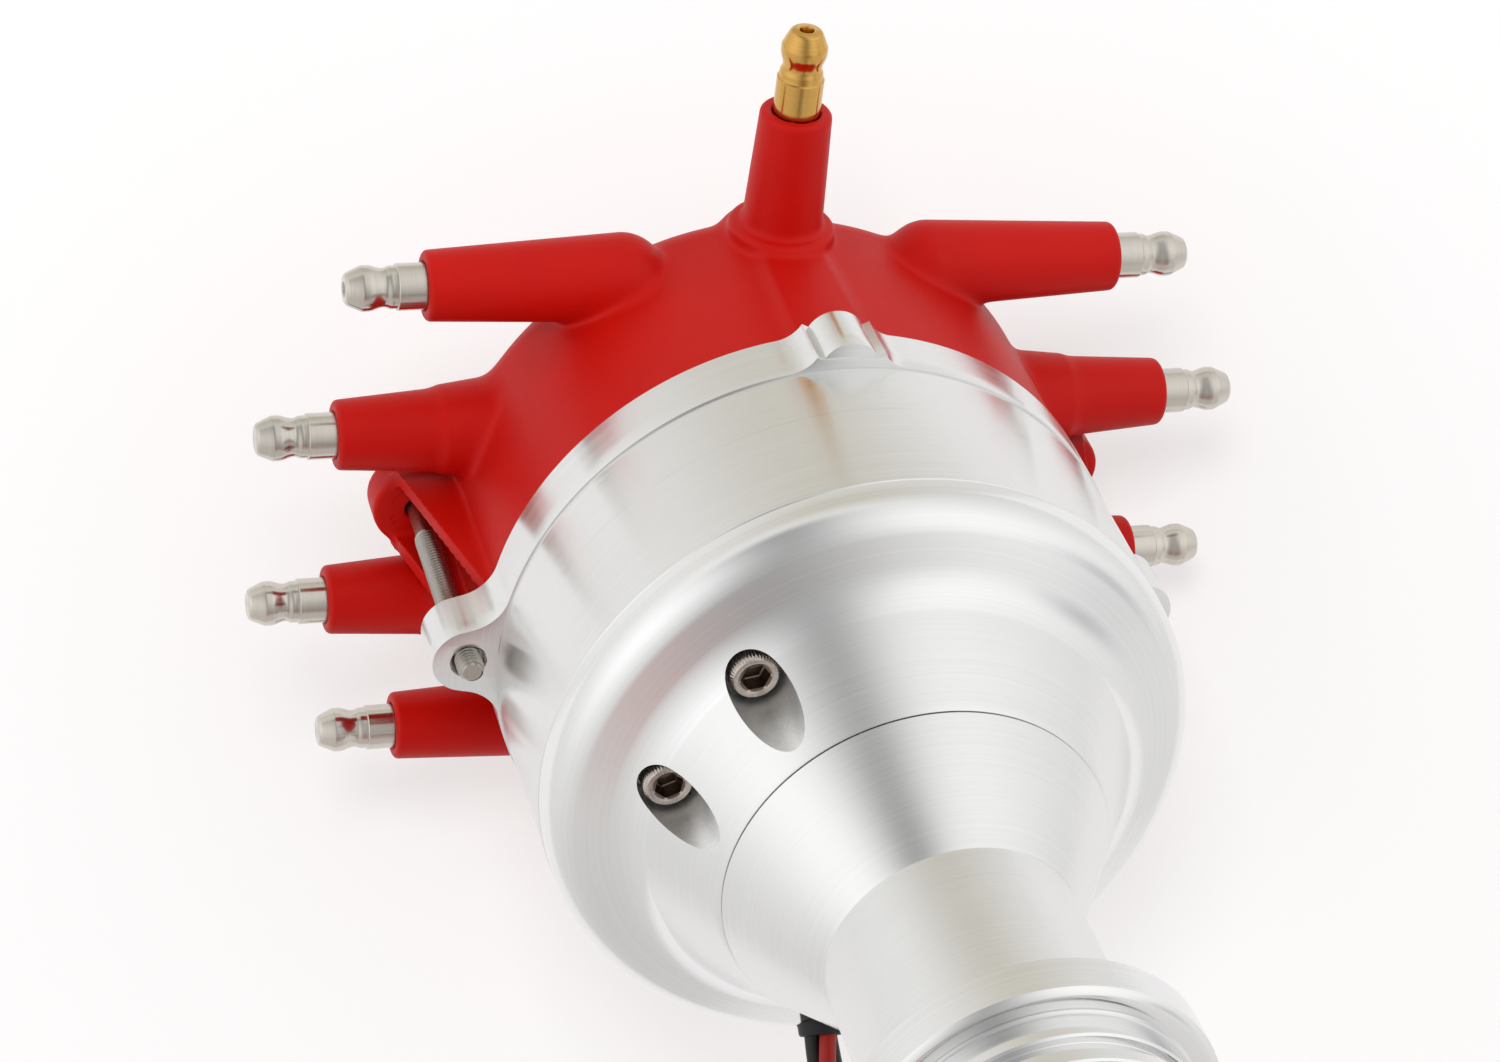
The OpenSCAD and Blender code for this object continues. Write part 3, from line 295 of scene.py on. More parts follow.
def hank_path():
    """The lead's centreline inside the hank: down, left, round and out at the bottom."""
    r = FOLD_R
    left, right = HANK_X - r, HANK_X + r
    bottom = HANK_TOP - HANK_LEN
    top_c, low_c = HANK_TOP - HALF_W, bottom + HALF_W
    flat = [(x, z, 0.0) for x, z in s_bend(HANK_X, left, HANK_TOP - 0.5, STEP_R)]
    z = flat[-1][1]
    flat += [(left, z + (low_c - z) * i / 10, 0.0) for i in range(1, 11)]
    flat += [(HANK_X - r * cos(a), low_c - r * sin(a), 0.0)
             for a in np.linspace(0, pi, 25)[1:]]
    flat += [(right, low_c + (top_c - low_c) * f, (1 - cos(pi * f)) / 2)
             for f in np.linspace(0, 1, 14)[1:]]
    flat += [(HANK_X + r * cos(a), top_c + r * sin(a), 1.0)
             for a in np.linspace(0, pi, 25)[1:]]
    tail = s_bend(left, HANK_X, 0.0, STEP_R)
    z_tail = bottom + 0.4 - tail[-1][1]
    flat += [(left, top_c + (z_tail - top_c) * i / 10, 1.0) for i in range(1, 11)]
    flat += [(x, z_tail + z, 1.0) for x, z in tail[1:]]
    return np.array([(x, HANK_Y + LEAD_D * y, z) for x, z, y in flat])


def resample(path, step):
    """Points evenly spaced along a path, and their distances from its start."""
    s = np.concatenate([[0], np.cumsum(np.linalg.norm(np.diff(path, axis=0), axis=1))])
    t = np.linspace(0, s[-1], int(s[-1] / step) + 1)
    return np.stack([np.interp(t, s, path[:, k]) for k in range(3)], 1), t


def smooth(p, rounds):
    p = p.copy()
    for _ in range(rounds):
        p[1:-1] = 0.25 * p[:-2] + 0.5 * p[1:-1] + 0.25 * p[2:]
    return p


def make_lead():
    """The three twisted strands, their centreline and its length."""
    route = lead_route()
    line, t = resample(np.array(route[:-1] + hank_path().tolist()), 1.2)
    line = smooth(line, 6)
    line[0] = route[0]
    d = unit(np.gradient(line, axis=0))
    u = np.cross(d, (0, 1, 0))
    u[np.linalg.norm(u, axis=1) < 1e-6] = (1, 0, 0)
    u = unit(u)
    w = np.cross(d, u)
    strand_r = LEAD_D / 2 / PACKING
    off = LEAD_D / 2 - strand_r
    # the red wire shows in the middle where the photograph sees the lead
    at = int(np.argmin(np.abs(t - SEEN_AT)))
    phase = atan2(-Vector(w[at]).dot(CAM_AHEAD), -Vector(u[at]).dot(CAM_AHEAD))
    phase -= 2 * np.pi * (t[at] / LAY + 1 / 3)
    strands = []
    for k in range(3):
        a = 2 * np.pi * (t / LAY + k / 3) + phase
        c = line + off * (np.cos(a)[:, None] * u + np.sin(a)[:, None] * w)
        strands.append(tube("strand%d" % k, c, strand_r, 12))
    return strands, line, float(np.sum(np.linalg.norm(np.diff(line, axis=0), axis=1)))


# Materials
def clean_tree(owner):
    owner.use_nodes = True
    owner.node_tree.nodes.clear()
    return owner.node_tree


def feed(nt, n, inputs):
    """Gives a node's inputs, by name or number, a value or the output that drives them."""
    for k, v in inputs.items():
        if isinstance(v, bpy.types.NodeSocket):
            nt.links.new(v, n.inputs[k])
        else:
            n.inputs[k].default_value = v


def node(nt, kind, inputs={}, **settings):
    n = nt.nodes.new(kind)
    for k, v in settings.items():
        setattr(n, k, v)
    feed(nt, n, inputs)
    return n


def new_material(name):
    """Material, its tree, main shader and object coordinates."""
    mat = bpy.data.materials.new(name)
    nt = clean_tree(mat)
    bsdf = node(nt, "ShaderNodeBsdfPrincipled")
    node(nt, "ShaderNodeOutputMaterial", {0: bsdf.outputs[0]})
    return mat, nt, bsdf, node(nt, "ShaderNodeTexCoord").outputs["Object"]


def srgb(r, g, b):
    def f(c):
        c /= 255.0
        return c / 12.92 if c <= 0.04045 else ((c + 0.055) / 1.055) ** 2.4
    return (f(r), f(g), f(b), 1.0)


def ramp(nt, value, stops):
    n = node(nt, "ShaderNodeValToRGB", {0: value})
    for e, (pos, colour) in zip(n.color_ramp.elements, stops):
        e.position = pos
        e.color = colour
    return n.outputs["Color"]


def noise(nt, at, scale, detail, rough):
    inputs = {"Vector": at, "Scale": scale, "Detail": detail, "Roughness": rough}
    return node(nt, "ShaderNodeTexNoise", inputs).outputs["Fac"]


def bump(nt, height, strength, distance, **more):
    inputs = {"Height": height, "Strength": strength, "Distance": distance, **more}
    return node(nt, "ShaderNodeBump", inputs).outputs["Normal"]


def span(nt, value, start, end, low=0.0, high=1.0, **settings):
    """Maps the range from start to end on that from low to high."""
    limits = {"From Min": start, "From Max": end, "To Min": low, "To Max": high}
    return node(nt, "ShaderNodeMapRange", {"Value": value, **limits}, **settings).outputs["Result"]


def calc(nt, op, *values):
    return node(nt, "ShaderNodeMath", dict(enumerate(values)), operation=op).outputs[0]


def vec(nt, op, *values):
    return node(nt, "ShaderNodeVectorMath", dict(enumerate(values)), operation=op).outputs


def plastic(name, colour, dark, rough=0.48, grain=0.12, scale=900.0, spec=0.35):
    """Moulded plastic: faint mottle in colour and gloss, fine grain and slow waviness."""
    mat, nt, b, at = new_material(name)
    broad, fine = noise(nt, at, 45.0, 5.0, 0.6), noise(nt, at, scale, 3.0, 0.6)
    wave = bump(nt, broad, 0.25, 0.0004)
    feed(nt, b, {
        "Base Color": ramp(nt, broad, [(0.35, dark), (0.65, colour)]),
        "Roughness": span(nt, fine, 0.0, 1.0, rough - 0.05, rough + 0.08),
        "Normal": bump(nt, fine, grain, 0.00008, Normal=wave)})
    b.inputs["Specular IOR Level"].default_value = spec
    return mat


def darker(colour, part):
    return tuple(c * part for c in colour[:3]) + (1,)


def turned_metal(name, colour, rough=0.16, rings=0.2, aniso=0.8, axis="Z", centre=(0, 0, 0),
                 pitch=0.00045, mottle=0.02):
    """Turned metal: fine rings round an axis through centre, in bump, gloss and tone. The grooves run
    round, so highlights stay narrow along them and spread across them."""
    mat, nt, b, at = new_material(name)
    shift = vec(nt, "SUBTRACT", at, centre)[0]
    sep = node(nt, "ShaderNodeSeparateXYZ", {0: shift})
    p, q, h = (sep.outputs[n] for n in {"X": "YZX", "Y": "XZY", "Z": "XYZ"}[axis])
    r = calc(nt, "SQRT", calc(nt, "ADD", calc(nt, "MULTIPLY", p, p), calc(nt, "MULTIPLY", q, q)))
    turn = calc(nt, "SINE", calc(nt, "ARCTAN2", q, p))
    marks = calc(nt, "DIVIDE", r, pitch), calc(nt, "DIVIDE", h, pitch), calc(nt, "MULTIPLY", turn, 0.35)
    comb = node(nt, "ShaderNodeCombineXYZ", dict(enumerate(marks)))
    lines, broad = noise(nt, comb.outputs[0], 1.0, 3.0, 0.75), noise(nt, at, 30.0, 4.0, 0.55)
    tone = calc(nt, "ADD", calc(nt, "MULTIPLY", lines, 0.5), calc(nt, "MULTIPLY", broad, 0.5))
    feed(nt, b, {
        "Base Color": ramp(nt, tone, [(0.35, darker(colour, 1 - mottle * 3)), (0.6, colour)]),
        "Metallic": 1.0, "Normal": bump(nt, lines, rings, 0.00001),
        "Roughness": span(nt, tone, 0.3, 0.7, max(0.03, rough - 0.05), rough + 0.07)})
    b.inputs["Anisotropic"].default_value = aniso
    b.inputs["Anisotropic Rotation"].default_value = 0.25
    along = {"X": (1, 0, 0), "Y": (0, 1, 0), "Z": (0, 0, 1)}[axis]
    feed(nt, b, {"Tangent": vec(nt, "CROSS_PRODUCT", along, shift)[0]})
    return mat


def plain_metal(name, colour, rough=0.3, scale=400.0, dark=0.8, grain=0.15):
    """Machined or plated metal with grain that follows no direction."""
    mat, nt, b, at = new_material(name)
    n = noise(nt, at, scale, 6.0, 0.65)
    feed(nt, b, {
        "Base Color": ramp(nt, n, [(0.35, darker(colour, dark)), (0.65, colour)]),
        "Metallic": 1.0, "Normal": bump(nt, n, grain, 0.00005),
        "Roughness": span(nt, n, 0.0, 1.0, rough - 0.08, rough + 0.1)})
    return mat


# plastic: name, colour, darker colour, roughness, grain, its scale and the specular level
# turned: name, colour, roughness, depth of the rings, anisotropy, axis, its place
# plain: name, colour, roughness, scale of the grain, how dark it gets, its depth
M_POLISH = turned_metal("polished_aluminium", (0.82, 0.82, 0.82, 1), 0.08, 0.08, 0.6)
# darker metal painted inside the hexagon sockets, as painted shade
M_SOCKET_SHADE = plain_metal("socket_depth", srgb(128, 112, 100), 0.33, 1200.0, 0.7, 0.2)
# drilled pocket walls: rougher, and lighter than the turned metal as painted light
M_BORE_PAINTED_LIGHT = plain_metal("drilled_aluminium_painted_light", (0.93, 0.93, 0.92, 1), 0.44, 1500.0, 0.9, 0.2)
M_WIRE_RED = plastic("wire_red", srgb(176, 30, 22), srgb(160, 22, 16), 0.4, 0.2)
BY_SLOT = {
    "polished_aluminium": turned_metal("turned_aluminium", (0.80, 0.80, 0.795, 1), 0.19, 0.16, 0.85),
    "cap_red": plastic("cap_red", srgb(194, 14, 4), srgb(187, 11, 3), 0.47, 0.10, 1400.0, 0.18),
    "stainless": plain_metal("stainless", srgb(205, 200, 192), 0.3, 900.0, 0.86),
    "brass": plain_metal("brass", srgb(214, 170, 92), 0.24, 900.0, 0.88),
    "black_oxide": plain_metal("socket_steel", srgb(198, 188, 180), 0.25, 1200.0, 0.8, 0.2),
    "carbon": plastic("carbon", srgb(46, 46, 48), srgb(30, 30, 32), 0.6, 0.4),
    "bronze": turned_metal("bronze", srgb(190, 142, 88), 0.34, 0.3, 0.3, pitch=0.0003),
    "steel": turned_metal("ground_steel", srgb(196, 196, 200), 0.22, 0.3, 0.6, pitch=0.0003),
    "bearing_steel": turned_metal("bearing_steel", srgb(214, 214, 218), 0.1, 0.15, 0.3, pitch=0.0003),
    "zinc_plated": plain_metal("zinc_plated", srgb(208, 196, 140), 0.32, 250.0, 0.84),
    "cast_iron_gear": plain_metal("gear_iron", srgb(92, 92, 96), 0.42, 700.0, 0.75, 0.3),
    "black_plastic": plastic("black_plastic", srgb(34, 34, 35), srgb(25, 25, 26), 0.5, 0.3),
    "nylon": plastic("nylon", srgb(60, 60, 62), srgb(48, 48, 50), 0.4),
    "spring_steel": plain_metal("spring_steel", srgb(170, 170, 175), 0.28, 900.0),
    "lead_jacket": plastic("wire_black", srgb(30, 29, 29), srgb(22, 21, 21), 0.38, 0.2),
}
SLOT_OF = {s["node"]: s["material_slot"] for s in frame["record"]["subparts"]}


def dress(ob, body, slot, *replaced, material=None):
    """Gives an object its material, by its slot unless one is given, puts it in its body and hides the
    nodes it replaces.
    """
    ob.data.materials.clear()
    ob.data.materials.append(material or BY_SLOT[slot])
    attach(ob, body)
    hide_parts(*replaced)
    return ob


def paint(ob, material, takes):
    """Gives one more material to the faces whose centre, in mm, it takes."""
    ob.data.materials.append(material)
    for f in ob.data.polygons:
        if takes(*(f.center / MM)):
            f.material_index = len(ob.data.materials) - 1


for name, ob in nodes.items():
    ob.data.materials.clear()
    ob.data.materials.append(BY_SLOT[SLOT_OF[name]])


# Bowl
def ear_outline():
    """Flange outline in XY, mm: a circle with two ears and the front lobe, all with concave blends."""
    def nose_loop(angle, reach, nose, blend):
        """Half the span in degrees, and the points from the flange circle up over one nose and back."""
        # blend circle tangent to the flange circle outside and to the nose or its flank
        by = nose + blend
        bx = sqrt((FLANGE_R + blend) ** 2 - by ** 2)
        start = degrees(atan2(by, bx))
        flank = abs(hypot(reach - bx, by) - by) > 0.05 and reach > bx
        to = -90.0 if flank else degrees(atan2(-by, reach - bx))
        rise = arc(bx, by, blend, start + 180, to + 360, 14)
        loop = rise + arc(reach, 0, nose, to + 180, -(to + 180), 24) + [(x, -y) for x, y in reversed(rise)]
        c, s = cos(radians(angle)), sin(radians(angle))
        return start, [(x * c - y * s, x * s + y * c) for x, y in loop]

    # radius to the nose's centre, nose and blend
    ear, lobe = (SCREW_X, 6.4, 8.0), (56.6, 5.4, 6.0)
    noses = [(angle, *nose_loop(angle, *sizes)) for angle, sizes in ((0, ear), (180, ear), (270, lobe))]
    out = []
    for (angle, half, loop), (after, half_after, _) in zip(noses, noses[1:] + noses[:1]):
        a0, a1 = angle + half, after - half_after
        a1 += 360 if a1 < a0 else 0
        out += loop[::-1] + arc(0, 0, FLANGE_R, a0, a1, int((a1 - a0) / 0.9))[1:-1]
    return np.array(out)


def inset(outline, d):
    """Outline moved inwards by d, point by point along its own normals."""
    t = unit(np.roll(outline, -1, 0) - np.roll(outline, 1, 0))
    return outline + np.stack([-t[:, 1], t[:, 0]], 1) * d


def flange():
    o = ear_outline()
    levels = [(0.12, FLANGE_Z), (0.03, FLANGE_Z + 0.03), (0.0, FLANGE_Z + 0.12), (0.0, FLANGE_Z + 3.5),
              (0.0, BOWL_TOP - 3.5), (0.0, BOWL_TOP - 0.3), (0.25, BOWL_TOP)]
    n, hole_n, bore_n = len(o), 64, 360
    verts = [(x, y, z) for d, z in levels for x, y in inset(o, d)]
    faces = ring_faces(len(levels), n)
    # countersunk clearance hole through each ear
    hole = [(3.3, FLANGE_Z), (2.95, FLANGE_Z + 0.35), (2.95, BOWL_TOP - 0.3), (3.2, BOWL_TOP)]
    holes = []
    for sx in (-1, 1):
        start = len(verts)
        for r, z in hole:
            verts += [(sx * SCREW_X + x, y, z) for x, y, z in ring(r, turns(hole_n), z)]
        faces += ring_faces(len(hole), hole_n, start, flip=True)
        holes.append((start, len(verts) - hole_n))
    for top, level, z, bore_r in ((0, 0, FLANGE_Z, BAND_R - 1.5), (1, len(levels) - 1, BOWL_TOP, BORE_R)):
        loops = [list(range(level * n, level * n + n)), list(range(len(verts), len(verts) + bore_n))]
        loops += [list(range(h[top], h[top] + hole_n))[::-1] for h in holes]
        verts += ring(bore_r, -turns(bore_n), z)
        flat = [i for loop in loops for i in loop]
        for t in tessellate_polygon([[Vector((*verts[i][:2], 0)) for i in loop] for loop in loops]):
            ids = [flat[i] for i in t]
            a, b, c = (np.array(verts[i][:2]) for i in ids)
            up = (b[0] - a[0]) * (c[1] - a[1]) - (b[1] - a[1]) * (c[0] - a[0])
            faces.append(tuple(ids if (up > 0) == (top == 1) else ids[::-1]))
    return add_mesh("flange", verts, faces, 30)


CONE_ANGLE = radians(30)
CONE = tan(CONE_ANGLE)
SEAM_R = NECK_R + (SEAM_Z - NECK_TOP) * CONE


def slide(p, q, shares):
    """Points between p and q at the given shares of the way."""
    return [(p[0] + (q[0] - p[0]) * f, p[1] + (q[1] - p[1]) * f) for f in shares]


def bowl_profile():
    """Outside of the bowl from the flange down to the seam, then back up inside, as one closed loop."""
    tilt, cove, shoulder = radians(22), 12.0, 7.0
    # end of the shoulder, then the tilted run that the cove takes over to the cone
    turn_r = BAND_R - shoulder - 0.15
    low_r = turn_r + shoulder * sin(tilt)
    low_z = FLOOR_Z + shoulder * (1 - cos(tilt))
    gap = (low_r - SEAM_R - (low_z - SEAM_Z) * CONE) * cos(CONE_ANGLE)
    run = (gap - cove * (1 - cos(radians(60) - tilt))) / cos(CONE_ANGLE + tilt)
    mid_r = low_r - run * cos(tilt) + cove * sin(tilt)
    mid_z = low_z - run * sin(tilt) - cove * cos(tilt)
    neck_bore, floor_in = 24.0, 92.0
    p = [(BORE_R, FLANGE_Z + 1), (BAND_R - 1.0, FLANGE_Z + 1), (BAND_R - 0.35, FLANGE_Z + 0.3),
         (BAND_R, FLANGE_Z - 0.15)]
    p += [(BAND_R, z) for z in np.linspace(FLANGE_Z - 0.8, LINE_Z + 0.5, 16)]
    p += [(BAND_R, LINE_Z + 0.12), (BAND_R - 0.10, LINE_Z), (BAND_R - 0.15, LINE_Z - 0.12)]
    p += arc(turn_r, FLOOR_Z + shoulder, shoulder, 0, -68, 30)
    p += arc(mid_r, mid_z, cove, 112, 150, 24)
    p += slide(p[-1], (SEAM_R + 0.17, SEAM_Z + 0.3), np.linspace(0.02, 1, 14))
    p += [(SEAM_R - 0.1, SEAM_Z + 0.02), (SEAM_R - 0.9, SEAM_Z + 0.05), (neck_bore + 0.4, SEAM_Z + 0.05),
          (neck_bore, SEAM_Z + 0.5), (neck_bore, floor_in - 0.4), (neck_bore + 0.4, floor_in),
          (BORE_R - 0.5, floor_in), (BORE_R, floor_in + 0.5)]
    return p


def cutter(name, r, z0, z1, origin, axis=(0, 0, 1)):
    return lathe(name, [(0, z0), (r, z0), (r, z1), (0, z1)], 96, origin, axis)


def carve(ob, cutters):
    """Takes the cutters out of ob for good."""
    for c in cutters:
        m = ob.modifiers.new("cut", "BOOLEAN")
        m.operation = "DIFFERENCE"
        m.solver = "EXACT"
        m.object = c
    bpy.context.view_layer.update()
    me = bpy.data.meshes.new_from_object(ob.evaluated_get(bpy.context.evaluated_depsgraph_get()))
    ob.modifiers.clear()
    ob.data = me
    for c in cutters:
        bpy.data.objects.remove(c)
    return ob


SCREW_ANGLES = (-131.7, -167.5)
POCKETS = [(40 * cos(radians(a)), 40 * sin(radians(a))) for a in SCREW_ANGLES]
POCKET_R, POCKET_Z = 5.12, 86.5


def near_pocket(x, y, r):
    return any(hypot(x - px, y - py) < r for px, py in POCKETS)


def make_bowl():
    body = add_mesh("bowl_turned", *lathe_data(bowl_profile(), 480, closed=True), 0)
    bm = bmesh.new()
    bm.from_mesh(body.data)
    bmesh.ops.recalc_face_normals(bm, faces=bm.faces)
    bm.to_mesh(body.data)
    bm.free()
    pocket = [(0, 50.0), (POCKET_R, 50.0), (POCKET_R, POCKET_Z - 0.3), (POCKET_R - 0.3, POCKET_Z),
              (0, POCKET_Z)]
    cuts = []
    for x, y in POCKETS:
        cuts.append(lathe("pocket", pocket, 128, (x, y, 0)))
        cuts.append(cutter("screw_hole", 2.6, 80, 100, (x, y, 0)))
    spot = [(0, -1.4), (5.45, -1.4), (5.6, -1.25), (5.6, 8), (0, 8)]
    cuts.append(lathe("spot", spot, 96, EXIT, EXIT_DIR))
    cuts.append(cutter("exit_hole", 4.4, -16, 4, EXIT, EXIT_DIR))
    carve(body, cuts)
    bowl = join("bowl", [body, flange()], 24)
    dress(bowl, "housing", "polished_aluminium", "bowl_housing")
    # the shoulder and the cove are polished, the pockets drilled and painted lighter than the rest as
    # painted light, and the rest is as turned
    paint(bowl, M_POLISH, lambda x, y, z: FLOOR_Z - 6.0 < z < LINE_Z - 0.1 and hypot(x, y) > SEAM_R)
    paint(bowl, M_BORE_PAINTED_LIGHT, lambda x, y, z: z < 91 and near_pocket(x, y, POCKET_R + 0.02))


# Lower housing
def shank_profile():
    """Half section of the lower housing, from the seam down."""
    p = [(0.0, SEAM_Z - 0.05), (SEAM_R - 0.8, SEAM_Z - 0.05), (SEAM_R - 0.16, SEAM_Z - 0.32)]
    p += slide((SEAM_R - 0.18, SEAM_Z - 0.35), (NECK_R, NECK_TOP), np.linspace(0.03, 1, 14))
    p += [(NECK_R, z) for z in np.linspace(43.4, 8.6, 20)]
    p += [(21.75, 8.15), (21.9, COLLAR_TOP), (29.4, COLLAR_TOP), (29.75, 7.9), (COLLAR_R, 7.4),
          (COLLAR_R, 1.05), (30.1, 0.9), (29.3, 0.08), (29.1, 0.0), (26.4, 0.0), (26.05, -0.3),
          (25.75, -0.4), (25.75, -0.8), (PILOT_R, -1.0)]
    for z in (-5.0, -10.6):
        # one seal groove
        p += [(PILOT_R, z + 0.35), (25.65, z), (24.5, z - 0.02), (GROOVE_R, z - 0.15), (GROOVE_R, z - 2.65),
              (24.5, z - 2.78), (25.65, z - 2.8), (PILOT_R, z - 3.15)]
    p += [(PILOT_R, -15.6), (24.9, -16.3), (24.3, -16.6), (15.85, -23.0), (SHANK_R, -23.4)]
    p += [(SHANK_R, z) for z in np.linspace(-26, -73.6, 12)]
    return p + [(15.7, -74.1), (14.9, -74.9), (14.7, SHANK_END), (9.6, SHANK_END), (9.4, -74.8),
                (9.4, -70.0), (0, -70.0)]


def make_shank():
    sh = lathe("shank", shank_profile()[::-1], 480, sharp=24)
    dress(sh, "housing", "polished_aluminium", "shank_housing")
    # the collar and the grooved pilot are polished
    paint(sh, M_POLISH, lambda x, y, z: -17 < z < 8.2 and hypot(x, y) > 22)


# Cap, as a distance field
def smin(a, b, k):
    h = np.maximum(k - np.abs(a - b), 0) / k
    return np.minimum(a, b) - h * h * h * k / 6.0


def smax(a, b, k):
    return -smin(-a, -b, k)


def box2(dx, dy, r):
    """Rounded corner of two plane distances."""
    dx, dy = dx + r, dy + r
    return np.hypot(np.maximum(dx, 0), np.maximum(dy, 0)) + np.minimum(np.maximum(dx, dy), 0) - r


def bar(u, v, w, u0, u1, r0, r1, edge, rounded=False):
    """Round bar along u from u0 to u1, tapering from r0 to r1, with a rounded far edge. Its near end is
    flat, or rounded about u0."""
    slope = (r1 - r0) / (u1 - u0)
    c = 1 / sqrt(1 + slope * slope)
    if rounded:
        rr = np.sqrt(v * v + w * w + np.minimum(u - u0, 0) ** 2)
        return box2((rr - (r0 + (np.maximum(u, u0) - u0) * slope)) * c, u - u1, edge)
    side = (np.hypot(v, w) - (r0 + (u - u0) * slope)) * c
    return np.maximum(box2(side, u - u1, edge), u0 - u)


def cap_field(x, y, z):
    """Signed distance to the cap's outside, mm."""
    r = np.hypot(x, y)
    hub = box2(r - 16.5 - (188.0 - z) * 0.6, z - 188.3, 2.0)
    d = smin(box2(r - CAP_R, z - CAP_TOP, 9.0), hub, 3.0)
    ax, az = np.abs(x), z - TOWER_Z
    rows = ((OUTER_Y, OUTER_REACH), (INNER_Y, INNER_REACH))
    for ty, reach in rows:
        ty_abs = np.abs(y) - ty
        root = sqrt(CAP_R ** 2 - ty * ty)
        t = bar(ax, ty_abs, az, root, reach, 8.05, 6.3, 0.9, rounded=True)
        if ty == INNER_Y:
            flare = bar(ax, ty_abs, az, root - 14.0, root + 6.0, 10.85, 7.45, 0.5)
            t = smin(t, flare, 3.5)
        d = smin(d, t, 3.4)
    # ridge over the coil lead, with a rounded end above the coil tower
    ridge = bar(-y, x, z - (TOWER_Z + 3.0), -6.0, 56.8, 10.6, 10.2, 3.2)
    d = smin(d, ridge, 2.6)
    # coil tower and its collar
    d = smin(d, bar(-y, x, az, 20.0, 59.0, 9.9, 9.6, 1.1), 1.7)
    d = smin(d, bar(-y, x, az, 20.0, COIL_REACH, 8.7, 6.4, 0.9), 2.2)
    # raised pilaster under the coil collar
    pil = box2(np.abs(x) - 5.6 - (TOWER_Z - z) * 0.03, r - CAP_R - 0.45, 1.0)
    d = smin(d, np.maximum(pil, np.maximum(y, z - TOWER_Z)), 3.6)
    # screw lugs
    lx = ax - SCREW_X
    lug = np.hypot(lx, y) - 8.1
    lug = np.minimum(lug, np.maximum(np.abs(y) - 8.1, np.maximum(lx, 46 - ax)))
    d = smin(d, smax(lug, np.abs(z - 179.8) - 3.7, 1.5), 3.0)
    # gussets on both sides of each screw: from the lug down to the flange
    reach = SCREW_X + 4.0 - (176.5 - z) * 0.245
    ends = np.maximum(ax - reach, np.maximum(z - 177.5, 44 - ax))
    d = smin(d, np.maximum(np.abs(np.abs(y) - 6.9) - 1.35, ends), 2.2)
    # recess that the screw stands in, and the screw's hole through the lug
    screw = np.hypot(ax - SCREW_X, y)
    d = smax(d, -np.maximum(screw - 4.6, z - 175.9), 0.8)
    d = np.maximum(d, -(screw - 2.25))
    # sockets that the terminals sit in
    for ty, reach in rows:
        s = np.hypot(np.abs(y) - ty, az)
        d = smax(d, -np.maximum(s - POST_R - 0.1, reach - 2.5 - ax), 0.4)
    s = np.hypot(x, az)
    d = smax(d, -np.maximum(s - POST_R - 0.15, COIL_REACH - 2.5 + y), 0.4)
    return smax(d, BOWL_TOP + 0.05 - z, 0.5)


def field_mesh(field, lo, hi, step):
    """Quads over the zero level of a field, one point per cell it crosses, then pulled onto the level."""
    axes = [np.arange(lo[i], hi[i] + step, step, dtype=np.float32) for i in range(3)]
    x, y, z = axes[0][:, None, None], axes[1][None, :, None], axes[2][None, None, :]
    v = np.asarray(field(x, y, z), np.float32)
    inside = v < 0
    cells = np.zeros([n - 1 for n in v.shape], np.uint8)
    nx, ny, nz = cells.shape
    corner = [(i, j, k) for i in (0, 1) for j in (0, 1) for k in (0, 1)]
    for i, j, k in corner:
        cells += inside[i:i + nx, j:j + ny, k:k + nz]
    mixed = (cells > 0) & (cells < 8)
    ids = np.full(mixed.shape, -1, np.int64)
    at = np.argwhere(mixed)
    ids[mixed] = np.arange(len(at))
    total, count = np.zeros((len(at), 3)), np.zeros(len(at))
    vals = np.stack([v[at[:, 0] + i, at[:, 1] + j, at[:, 2] + k] for i, j, k in corner], 1)
    for (a, ca), (b, cb) in combinations(enumerate(np.array(corner)), 2):
        if np.abs(ca - cb).sum() == 1:
            va, vb = vals[:, a], vals[:, b]
            cross = (va < 0) != (vb < 0)
            t = np.where(cross, va / np.where(va == vb, 1, va - vb), 0)
            total += np.where(cross[:, None], ca + t[:, None] * (cb - ca), 0)
            count += cross
    pts = (at + total / count[:, None]) * step + np.array(lo)
    quads = []
    for axis in range(3):
        a, cell = np.moveaxis(inside, axis, 0), np.moveaxis(ids, axis, 0)
        change = a[1:] != a[:-1]
        i, j, k = np.argwhere(change).T
        good = (j > 0) & (k > 0) & (j < cell.shape[1]) & (k < cell.shape[2])
        i, j, k, keep = i[good], j[good], k[good], a[:-1][change][good] == (axis != 1)
        q = np.stack([cell[i, j - 1, k - 1], cell[i, j, k - 1], cell[i, j, k], cell[i, j - 1, k]], 1)
        q[~keep] = q[~keep][:, ::-1]
        quads.append(q)
    quads = np.concatenate(quads)
    for _ in range(3):
        value, grad = field_slope(field, pts)
        pts -= np.clip(value, -step, step)[:, None] * grad
    return pts, quads


def field_slope(field, p, h=0.02):
    """Value and unit gradient of the field at points."""
    p = np.asarray(p, np.float64)
    g = np.stack([field(*(p + s).T) - field(*(p - s).T) for s in np.eye(3) * h], 1) / (2 * h)
    n = np.linalg.norm(g, axis=1)
    n[n < 1e-9] = 1
    return field(*p.T) / n, g / n[:, None]


def quad_object(name, pts, quads, normals):
    """Mesh from arrays of points and quads, with its own normals."""
    me = bpy.data.meshes.new(name)
    me.vertices.add(len(pts))
    me.vertices.foreach_set("co", (pts * MM).astype(np.float32).ravel())
    me.loops.add(len(quads) * 4)
    me.loops.foreach_set("vertex_index", quads.astype(np.int32).ravel())
    me.polygons.add(len(quads))
    me.polygons.foreach_set("loop_start", np.arange(0, len(quads) * 4, 4, dtype=np.int32))
    me.update(calc_edges=True)
    me.validate()
    shade(me, normals=normals if len(me.vertices) == len(normals) else None)
    return new_object(name, me)


